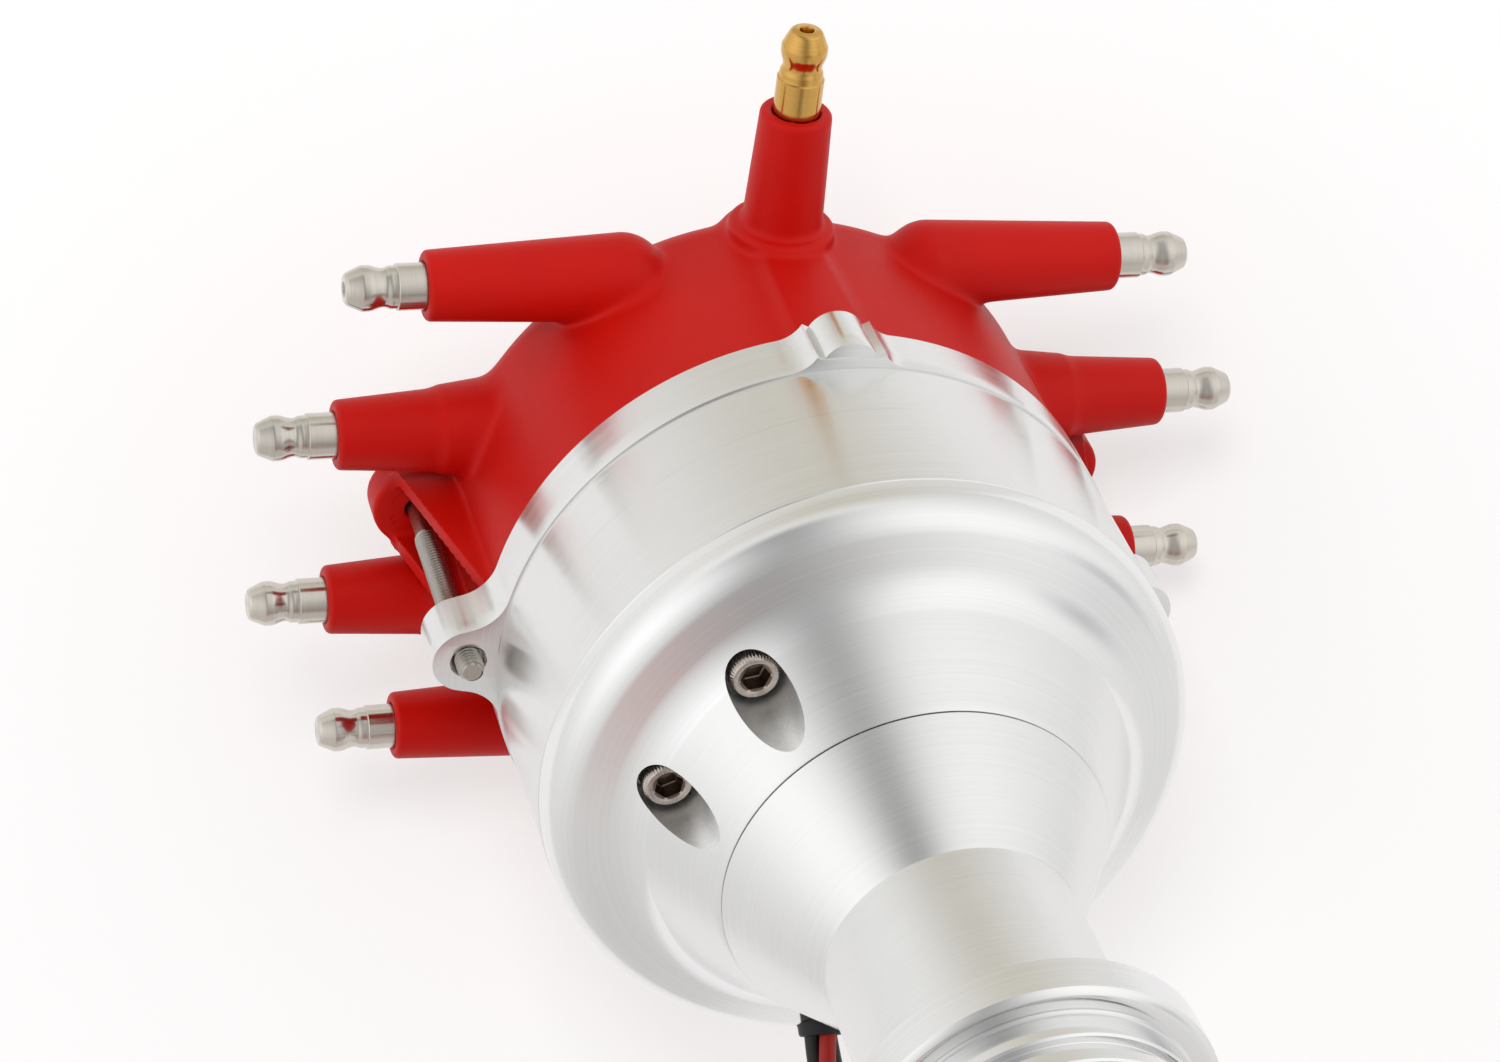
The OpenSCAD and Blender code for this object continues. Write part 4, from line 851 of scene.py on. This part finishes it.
def make_cap():
    step = 0.55
    pts, quads = field_mesh(cap_field, (-82.0, -84.0, BOWL_TOP - 1.2), (82.0, 60.0, 190.2), step)
    ok = (quads >= 0).all(1)
    _, normals = field_slope(cap_field, pts, 0.05)
    cap = quad_object("cap_shell", pts, quads[ok], normals)
    dress(cap, "housing", "cap_red", "cap")


# Terminals
def terminal_profile(length, hole):
    """Snap terminal: base, small step, shallow waist, bulb and blunt cone, from its socket outwards."""
    end = length + 3
    neck, waist = POST_R - 0.35, BULB_R - 0.62
    p = [(0, 0.2), (POST_R, 0.2), (POST_R, end - 9.32), (POST_R - 0.1, end - 9.2), (neck + 0.04, end - 9.1),
         (neck, end - 9.0)]
    p += [(waist + (neck - waist) * (1 + cos(pi * f)) / 2, end - 8.2 + 1.3 * f)
          for f in np.linspace(0, 1, 9)]
    p += [(waist + (BULB_R - waist) * (1 - cos(pi * f)) / 2, end - 6.9 + 2.9 * f)
          for f in np.linspace(0, 1, 14)[1:]]
    p += [(BULB_R, end - 3.2), (BULB_R - 0.03, end - 2.95), (BULB_R - 0.14, end - 2.7)]
    p += [(BULB_R - 1.05, end - 0.65), (BULB_R - 1.25, end - 0.3), (BULB_R - 1.55, end - 0.06),
          (BULB_R - 1.8, end)]
    if hole:
        return p + [(1.55, end), (1.45, end + 0.05), (1.32, end - 0.02), (1.2, end - 0.3), (1.1, end - 1.5),
                    (0, end - 1.7)]
    return p + [(0, end)]


def make_terminals():
    """The nine terminals, each with turning marks round its own axis."""
    for i, (s, y, reach) in enumerate(TOWERS):
        t = lathe("terminal_%d" % (i + 1), terminal_profile(POST_LEN, i == 0), 96,
                  (s * (reach - 3), y, TOWER_Z), (s, 0, 0), sharp=24)
        steel = turned_metal("terminal_steel_%d" % i, srgb(208, 202, 193), 0.2, 0.3, 0.6, "X",
                             (0, y * MM, TOWER_Z * MM), pitch=0.00022, mottle=0.05)
        dress(t, "housing", "stainless", "plug_terminal_%d" % (i + 1), material=steel)
    t = lathe("terminal_coil", terminal_profile(COIL_POST_LEN, True), 96, (0, -(COIL_REACH - 3), TOWER_Z),
              (0, -1, 0), sharp=28)
    brass = turned_metal("terminal_brass", srgb(216, 170, 92), 0.17, 0.25, 0.6, "Y", (0, 0, TOWER_Z * MM),
                         pitch=0.00025, mottle=0.05)
    dress(t, "housing", "brass", "coil_terminal", material=brass)


# Screws
def make_cap_screws():
    prof = [(0, 126.2), (1.65, 126.2), (1.95, 126.5), (1.95, 166.9), (1.86, 167.3), (1.86, 182.9),
            (4.1, 183.0), (4.4, 183.3), (4.4, 185.9), (3.9, 186.6), (0, 186.6)]
    parts = []
    for origin in ((-SCREW_X, 0, 0), (SCREW_X, 0, 0)):
        parts += [lathe("core", prof, 64, origin, sharp=30), thread("thread", 126.6, 167.2, 40, origin)]
    steel = turned_metal("screw_steel", srgb(186, 180, 172), 0.26, 0.6, 0.3, "Z", (SCREW_X * MM, 0, 0),
                         pitch=0.0003, mottle=0.08)
    dress(join("cap_screw_pair", parts, 40), "housing", "stainless", "cap_screws", material=steel)


def socket_screw(origin, turn):
    """Socket head screw, head down: knurled rim, chamfered socket face, hexagon socket and thread."""
    n, knurls = 288, 48
    low, top, end = 80.7, POCKET_Z, 98.2
    a = turns(n)
    wave = np.where(np.cos(knurls * a) > 0, 1.0, -1.0) * np.abs(np.cos(knurls * a)) ** 0.6
    # radius, height and share of the knurling, from the face to the back of the head
    levels = [(3.55, low, 0), (3.78, low + 0.08, 0), (3.93, low + 0.28, 0), (4.16, low + 0.7, 1.0),
              (4.16, top - 0.55, 1.0), (4.0, top - 0.15, 0), (3.7, top, 0)]
    hexa = 2.25 / np.cos((a + pi / 6) % (pi / 3) - pi / 6)
    # socket: round to hexagon lip, walls and floor
    socket = [(3.05, low), (2.75, low + 0.22), (hexa, low + 0.35), (hexa, low + 3.2),
              (hexa * 0.9, low + 3.35)]
    verts = []
    for r, z, k in levels:
        verts += ring(r + 0.11 * k * wave, a, z)
    lip = len(verts)
    for r, z in socket:
        verts += ring(r, a, z)
    floor, back = len(verts), len(verts) + 1
    verts += [(0, 0, low + 2.9), (0, 0, top)]
    faces = ring_faces(len(levels), n) + ring_faces(len(socket), n, lip, flip=True)
    rim, well = lip - n, floor - n
    for k, m in pairs(n):
        faces += [(k, lip + k, lip + m, m), (well + k, floor, well + m), (rim + k, rim + m, back)]
    head = add_mesh("head", place(verts, origin, spin=turn), [f[::-1] for f in faces], 26)
    core = [(0, top - 0.01), (1.95, top - 0.01), (1.95, end), (1.6, end + 0.3), (0, end + 0.3)]
    return [head, lathe("core", core, 48, origin), thread("thread", top + 0.5, end, 36, origin)]


def make_module_screws():
    parts = []
    for (x, y), turn in zip(POCKETS, (0.35, 0.12)):
        parts += socket_screw((x, y, 0), turn)
    ob = dress(join("module_screw_pair", parts, 30), "housing", "black_oxide", "module_screws")
    # the inside of the hexagon is painted darker, as painted shade
    paint(ob, M_SOCKET_SHADE, lambda x, y, z: z < 84.2 and near_pocket(x, y, 2.62))


# Drive gear
GEAR_TOP, GEAR_W, GEAR_TIP, TOOTH = -76.7, 22.0, 15.4, 3.6
GEAR_TEETH, HELIX = 13, tan(radians(30.0))
GEAR_BORE = 6.4


def make_gear():
    """Helical gear with rounded tooth flanks, chamfered ends and a hub."""
    root, pitch_r = GEAR_TIP - TOOTH, GEAR_TIP - TOOTH / 2
    hub_w, lip = 8.0, GEAR_BORE + 0.5
    face_w, bottom = GEAR_W - hub_w, GEAR_TOP - GEAR_W
    # height of one tooth over its pitch, from root 0 to tip 1
    s = np.arange(22) / 22
    h = np.clip((np.abs(((s - 0.48) + 0.5) % 1 - 0.5) - 0.36) / (0.12 - 0.36), 0, 1)
    h = h * h * (3 - 2 * h) * 0.5 + h * 0.5
    ang = (np.arange(GEAR_TEETH)[:, None] + s[None, :]).ravel() * 2 * np.pi / GEAR_TEETH
    hh = np.tile(h, GEAR_TEETH)
    n = len(ang)
    zs = [0.0, 0.5, 1.0, *np.linspace(1.6, face_w - 1.6, 40), face_w - 1.0, face_w - 0.5, face_w]
    verts = []
    for z in zs:
        cut = max(0.0, 1.0 - min(z, face_w - z)) * 1.1
        verts += ring(np.minimum(root + hh * TOOTH, GEAR_TIP - cut), ang - z * HELIX / pitch_r, bottom + z)
    faces = ring_faces(len(zs), n)
    low, high, inner = len(verts), len(verts) + 2 * n, len(verts) + n
    t = ang - zs[-1] * HELIX / pitch_r
    verts += ring(lip, ang, bottom) + ring(GEAR_BORE, ang, bottom + 0.5) + ring(lip, t, bottom + zs[-1])
    rim = low - n
    for k, m in pairs(n):
        faces += [(low + k, low + m, m, k), (low + m, low + k, inner + k, inner + m),
                  (rim + k, rim + m, high + m, high + k)]
    teeth = add_mesh("teeth", verts, faces, 32)
    hub_r, hub_z = root - 0.6, GEAR_TOP - hub_w
    hub = [(lip, hub_z - 0.5), (hub_r, hub_z - 0.4), (hub_r, GEAR_TOP - 0.8), (hub_r - 0.7, GEAR_TOP - 0.1),
           (lip, GEAR_TOP - 0.05), (GEAR_BORE, GEAR_TOP - 0.5)]
    ob = join("gear", [teeth, lathe("hub", hub, 120)], 32)
    dress(ob, "drive", "cast_iron_gear", "drive_gear")


# Springs
def coil(name, start, end, radius, wire, rounds):
    """Close-wound spring between two points at one height."""
    d = unit(end - start)
    u = unit(np.cross(d, (0, 0, 1)))
    w = np.cross(d, u)
    n = int(rounds * 20)
    t = np.arange(n + 1) / n
    ph = 2 * np.pi * rounds * t
    along = (t * np.linalg.norm(end - start))[:, None] * d
    p = start + along + radius * (np.cos(ph)[:, None] * u + np.sin(ph)[:, None] * w)
    return tube(name, p, wire, 8)


def hook(name, centre, towards, radius, wire, travel=0.0):
    """Open loop round a post, with its mouth towards the spring and drawn out by the post's travel."""
    base = atan2(towards[1] - centre[1], towards[0] - centre[0])
    a = np.linspace(base + 0.25, base + 2 * pi - 0.25, 30)
    p = np.array(ring(radius, a, 0.0)) + centre
    p[np.cos(a - base) < 0, :2] -= travel * np.array([cos(base), sin(base)])
    return tube(name, p, wire, 8)


PIN_R, POST_AT, POST_ANGLE, SPRING_Z = 22, 8.2, radians(150), 129.1
WIRE = 0.24
# the posts turn by 10 degrees at most
POST_TRAVEL = 2 * POST_AT * sin(radians(5))


def make_springs():
    for k, name in ((0, "a"), (180, "b")):
        rot = Matrix.Rotation(radians(k), 3, "Z")
        pin = np.array(rot @ Vector((0, PIN_R, SPRING_Z)))
        x, y = POST_AT * cos(POST_ANGLE), POST_AT * sin(POST_ANGLE)
        post = np.array(rot @ Vector((x, y, SPRING_Z)))
        d = unit(post - pin)
        parts = [coil("coil", pin + d * 2.5, post - d * 2.5, 1.15, WIRE, 22),
                 hook("pin_hook", pin, post, 2.0, WIRE),
                 hook("post_hook", post, pin, 1.75, WIRE, POST_TRAVEL)]
        ob = join("weight_spring_" + name, parts, 60)
        dress(ob, "advance", "spring_steel", "advance_spring_" + name)


# Lead, grommet, hank, tie and plug
def make_cord():
    """The whole lead as one object, in which the strands keep their own colours."""
    strands, line, length = make_lead()
    counts = [len(s.data.polygons) for s in strands]
    ob = join("wire_lead", strands, 50)
    dress(ob, "housing", "lead_jacket", "lead", "lead_hank")
    for m in (M_WIRE_RED, BY_SLOT["lead_jacket"]):
        ob.data.materials.append(m)
    ob.data.polygons.foreach_set("material_index", np.repeat(range(3), counts).tolist())
    return ob, line, length


def make_grommet():
    prof = [(3.3, -1.4), (4.75, -1.4), (4.85, -1.3), (4.85, -0.7), (4.6, -0.5), (4.4, 0.0), (4.3, 1.2)]
    prof += [(4.15, 1.55), (3.9, 1.66), (3.65, 1.6), (3.45, 1.3), (3.3, 0.6)]
    dress(lathe("grommet", prof, 96, EXIT, EXIT_DIR, sharp=40), "housing", "black_plastic", "lead_grommet")


def rounded_box(name, size, centre, r, seg=3):
    bm = bmesh.new()
    bmesh.ops.create_cube(bm, size=1.0)
    bmesh.ops.scale(bm, vec=Vector(size) * MM, verts=bm.verts)
    bmesh.ops.bevel(bm, geom=list(bm.edges), offset=r * MM, segments=seg, affect="EDGES", profile=0.5)
    bmesh.ops.translate(bm, vec=Vector(centre) * MM, verts=bm.verts)
    return from_bmesh(name, bm)


def make_tie():
    """Ribbed strap round the hank with its locking block."""
    cy, cz = HANK_Y + LEAD_D / 2, HANK_TOP - HANK_LEN / 2
    # half width and half thickness of the strap's loop
    w, t, corner = HALF_W + 0.8, LEAD_D + 0.75, 2.6
    path = []
    for sx, sy, a0 in ((1, 1, 0), (-1, 1, 90), (-1, -1, 180), (1, -1, 270)):
        path += arc(HANK_X + sx * (w - corner), cy + sy * (t - corner), corner, a0, a0 + 90, 8)
    dense = []
    for p, q in zip(path, path[1:] + path[:1]):
        m = max(1, int(dist(p, q) / 0.45))
        dense += slide(p, q, [k / m for k in range(m)])
    dense = np.array(dense)
    along = unit(np.roll(dense, -1, 0) - np.roll(dense, 1, 0))
    section = [(0.0, -2.4), (0.45, -2.4), (0.5, -1.5), (0.5, 1.5), (0.45, 2.4), (0.0, 2.4)]
    verts = []
    for i, ((x, y), (tx, ty)) in enumerate(zip(dense, along)):
        rib = 0.12 if i % 4 < 2 else 0.0
        for o, z in section:
            out = o + (rib if 0 < o and abs(z) < 2 else 0)
            verts.append((x + ty * out, y - tx * out, cz + z))
    # the last row joins the first
    faces = [tuple(v % len(verts) for v in f) for f in ring_faces(len(dense) + 1, len(section))]
    strap = add_mesh("strap", verts, faces, 50)
    block = rounded_box("block", (5.6, 1.2, 5.6), (HANK_X + 9, cy + t + 0.2, cz), 0.35)
    return dress(join("hank_tie", [strap, block], 45), "housing", "black_plastic", "lead_tie")


def make_plug():
    """Three-way sealed connector: ribbed body, latch, wire seals and a flared mouth."""
    top = HANK_TOP - HANK_LEN - 0.2
    cx, cy = HANK_X, HANK_Y + LEAD_D
    # body, skirt, latch, catch and ribs: size, distances from the middle, rounding and its steps
    blocks = [((13.6, 10.4, 17.0), 0, 8.6, 1.2, 3), ((15.0, 12.0, 9.5), 0, 21.25, 1.3, 3),
              ((4.6, 0.9, 13.0), 5.5, 10.5, 0.3, 3), ((5.6, 1.2, 1.6), 5.3, 4.6, 0.3, 3)]
    blocks += [((14.2, 10.9, 0.7), 0, 2.2 + k * 1.5, 0.3, 2) for k in range(5)]
    parts = [rounded_box("block", size, (cx, cy - y, top - z), r, seg) for size, y, z, r, seg in blocks]
    seal = [(0, 0.1), (1.7, 0.1), (1.9, -0.1), (1.9, -0.6), (1.6, -0.8), (1.6, -1.4), (0, -1.4)]
    for k in (-1, 0, 1):
        parts.append(lathe("seal", seal, 32, (cx + 4.1 * k, cy, top - 0.1)))
    return dress(join("plug", parts, 35), "housing", "black_plastic", "lead_plug")


# Build
make_bowl()
make_shank()
make_cap()
make_terminals()
make_cap_screws()
make_module_screws()
make_gear()
make_springs()
lead, lead_line, lead_length = make_cord()
make_grommet()
tie = make_tie()
plug = make_plug()


# Stage and light
def view_dir(r, u, f):
    """Direction in the row frame from one given as right, up and ahead of the photograph's view."""
    return (CAM_RIGHT * r + CAM_UP * u + CAM_AHEAD * f).normalized()


BOARD_DEPTH = 806.0
BOARD_CLEAR, BOARD_EDGE = 0.20, 0.34
BOARD_LIFT = 0.40


def mix_out(nt, kind, share, first, second):
    """Output node fed by two shaders, with the share of the second."""
    mix = node(nt, "ShaderNodeMixShader", {0: share, 1: first.outputs[0], 2: second.outputs[0]})
    node(nt, kind, {0: mix.outputs[0]})


def ray(nt, kind):
    return node(nt, "ShaderNodeLightPath").outputs["Is %s Ray" % kind]


def make_backdrop():
    """White board just behind the object, square to the photograph's view. It takes soft shadows, fades
    out at its rim, and is clear from behind."""
    s = BOARD_EDGE + 0.02
    me = bpy.data.meshes.new("backdrop")
    me.from_pydata([(-s, -s, 0), (s, -s, 0), (s, s, 0), (-s, s, 0)], [], [(0, 1, 2, 3)])
    ob = new_object("backdrop", me)
    middle = camera.location + CAM_AHEAD * BOARD_DEPTH * MM
    ob.matrix_world = view_matrix(CAM_RIGHT, CAM_UP, CAM_AHEAD, middle)
    mat = bpy.data.materials.new("backdrop_board")
    nt = clean_tree(mat)
    at = node(nt, "ShaderNodeTexCoord").outputs["Object"]
    stops = [(0.3, (0.62, 0.62, 0.625, 1)), (0.7, (0.63, 0.63, 0.63, 1))]
    tone = ramp(nt, noise(nt, at, 6.0, 2.0, 0.5), stops)
    # the camera and mirrors see it lighter than its light would make it
    seen = calc(nt, "MAXIMUM", ray(nt, "Camera"), ray(nt, "Glossy"))
    seen = calc(nt, "MAXIMUM", seen, ray(nt, "Transmission"))
    glow = node(nt, "ShaderNodeEmission", {"Strength": calc(nt, "MULTIPLY", seen, BOARD_LIFT)})
    matt = node(nt, "ShaderNodeBsdfDiffuse", {"Color": tone})
    both = node(nt, "ShaderNodeAddShader", {0: matt.outputs[0], 1: glow.outputs[0]})
    rim = span(nt, vec(nt, "LENGTH", at)["Value"], BOARD_CLEAR, BOARD_EDGE,
               interpolation_type="SMOOTHSTEP")
    back = node(nt, "ShaderNodeNewGeometry").outputs["Backfacing"]
    mix_out(nt, "ShaderNodeOutputMaterial", calc(nt, "MAXIMUM", rim, back), both,
            node(nt, "ShaderNodeBsdfTransparent"))
    me.materials.append(mat)


def make_light():
    """Soft light behind the camera, above it to the left, seen by matt surfaces only."""
    data = bpy.data.lights.new("key", "AREA")
    data.shape = "SQUARE"
    data.size = 0.30
    data.energy = 4.4
    ob = new_object("key", data)
    direction = view_dir(-0.06, 0.25, -0.96)
    ob.location = Vector((0, 0, 0.12)) + direction * 1.3
    ob.rotation_mode = "QUATERNION"
    ob.rotation_quaternion = (-direction).to_track_quat("-Z", "Y")
    ob.visible_glossy = False


# Studio round the object: direction as right, up and ahead, how narrow it is, and the light it adds
ROOM = (0.825, 0.819, 0.806)
LOBES = [((-0.80, 0.10, -0.58), 5.0, (0.46, 0.47, 0.48)),
         ((0.65, 0.25, -0.70), 2.6, (0.41, 0.42, 0.42)),
         ((-0.72, 0.62, 0.32), 6.0, (0.10, 0.10, 0.10)),
         ((-0.12, 0.95, 0.22), 9.0, (-0.26, -0.29, -0.38)),
         ((0.95, -0.24, -0.20), 40.0, (-0.40, -0.40, -0.37)),
         ((0.00, -1.00, 0.00), 3.0, (-0.20, -0.21, -0.21)),
         ((0.10, -0.80, -0.59), 24.0, (-0.14, -0.52, -0.54))]
# Dark upright strip behind the camera: the normal of its middle plane, its shift, half width and depth
STRIP = (-0.939, -0.311, -0.150)
STRIP_AT, STRIP_W, STRIP_DARK = 0.10, 0.35, 0.67
MIRROR_WHITE = 0.2


def make_world():
    """Studio as soft shapes on the direction, which light the object and which the metal mirrors. The
    camera sees it white, and a share of that white is added in mirrors."""
    scene.world = bpy.data.worlds.new("studio")
    nt = clean_tree(scene.world)
    at = node(nt, "ShaderNodeTexCoord").outputs["Generated"]

    def along(d):
        return vec(nt, "DOT_PRODUCT", at, tuple(d))["Value"]

    total = ROOM
    for d, k, colour in LOBES:
        power = calc(nt, "MULTIPLY", calc(nt, "SUBTRACT", along(view_dir(*d)), 1.0), k)
        total = vec(nt, "MULTIPLY_ADD", calc(nt, "EXPONENT", power), colour, total)[0]
    side = calc(nt, "DIVIDE", calc(nt, "SUBTRACT", along(view_dir(*STRIP)), STRIP_AT), STRIP_W)
    near = calc(nt, "EXPONENT", calc(nt, "MULTIPLY", calc(nt, "MULTIPLY", side, side), -1.0))
    behind = span(nt, along(-CAM_AHEAD), 0.25, 0.6, interpolation_type="SMOOTHSTEP")
    dim = calc(nt, "MULTIPLY", calc(nt, "MULTIPLY", near, behind), -STRIP_DARK)
    scaled = node(nt, "ShaderNodeVectorMath", {0: total, "Scale": calc(nt, "ADD", dim, 1.0)},
                  operation="SCALE").outputs[0]
    mirrored = calc(nt, "MAXIMUM", ray(nt, "Glossy"), ray(nt, "Transmission"))
    seen = calc(nt, "MAXIMUM", ray(nt, "Camera"), calc(nt, "MULTIPLY", mirrored, MIRROR_WHITE))
    mix_out(nt, "ShaderNodeOutputWorld", seen, node(nt, "ShaderNodeBackground", {"Color": scaled}),
            node(nt, "ShaderNodeBackground", {"Color": (1, 1, 1, 1)}))


make_backdrop()
make_light()
make_world()
scene.view_settings.view_transform = "Standard"
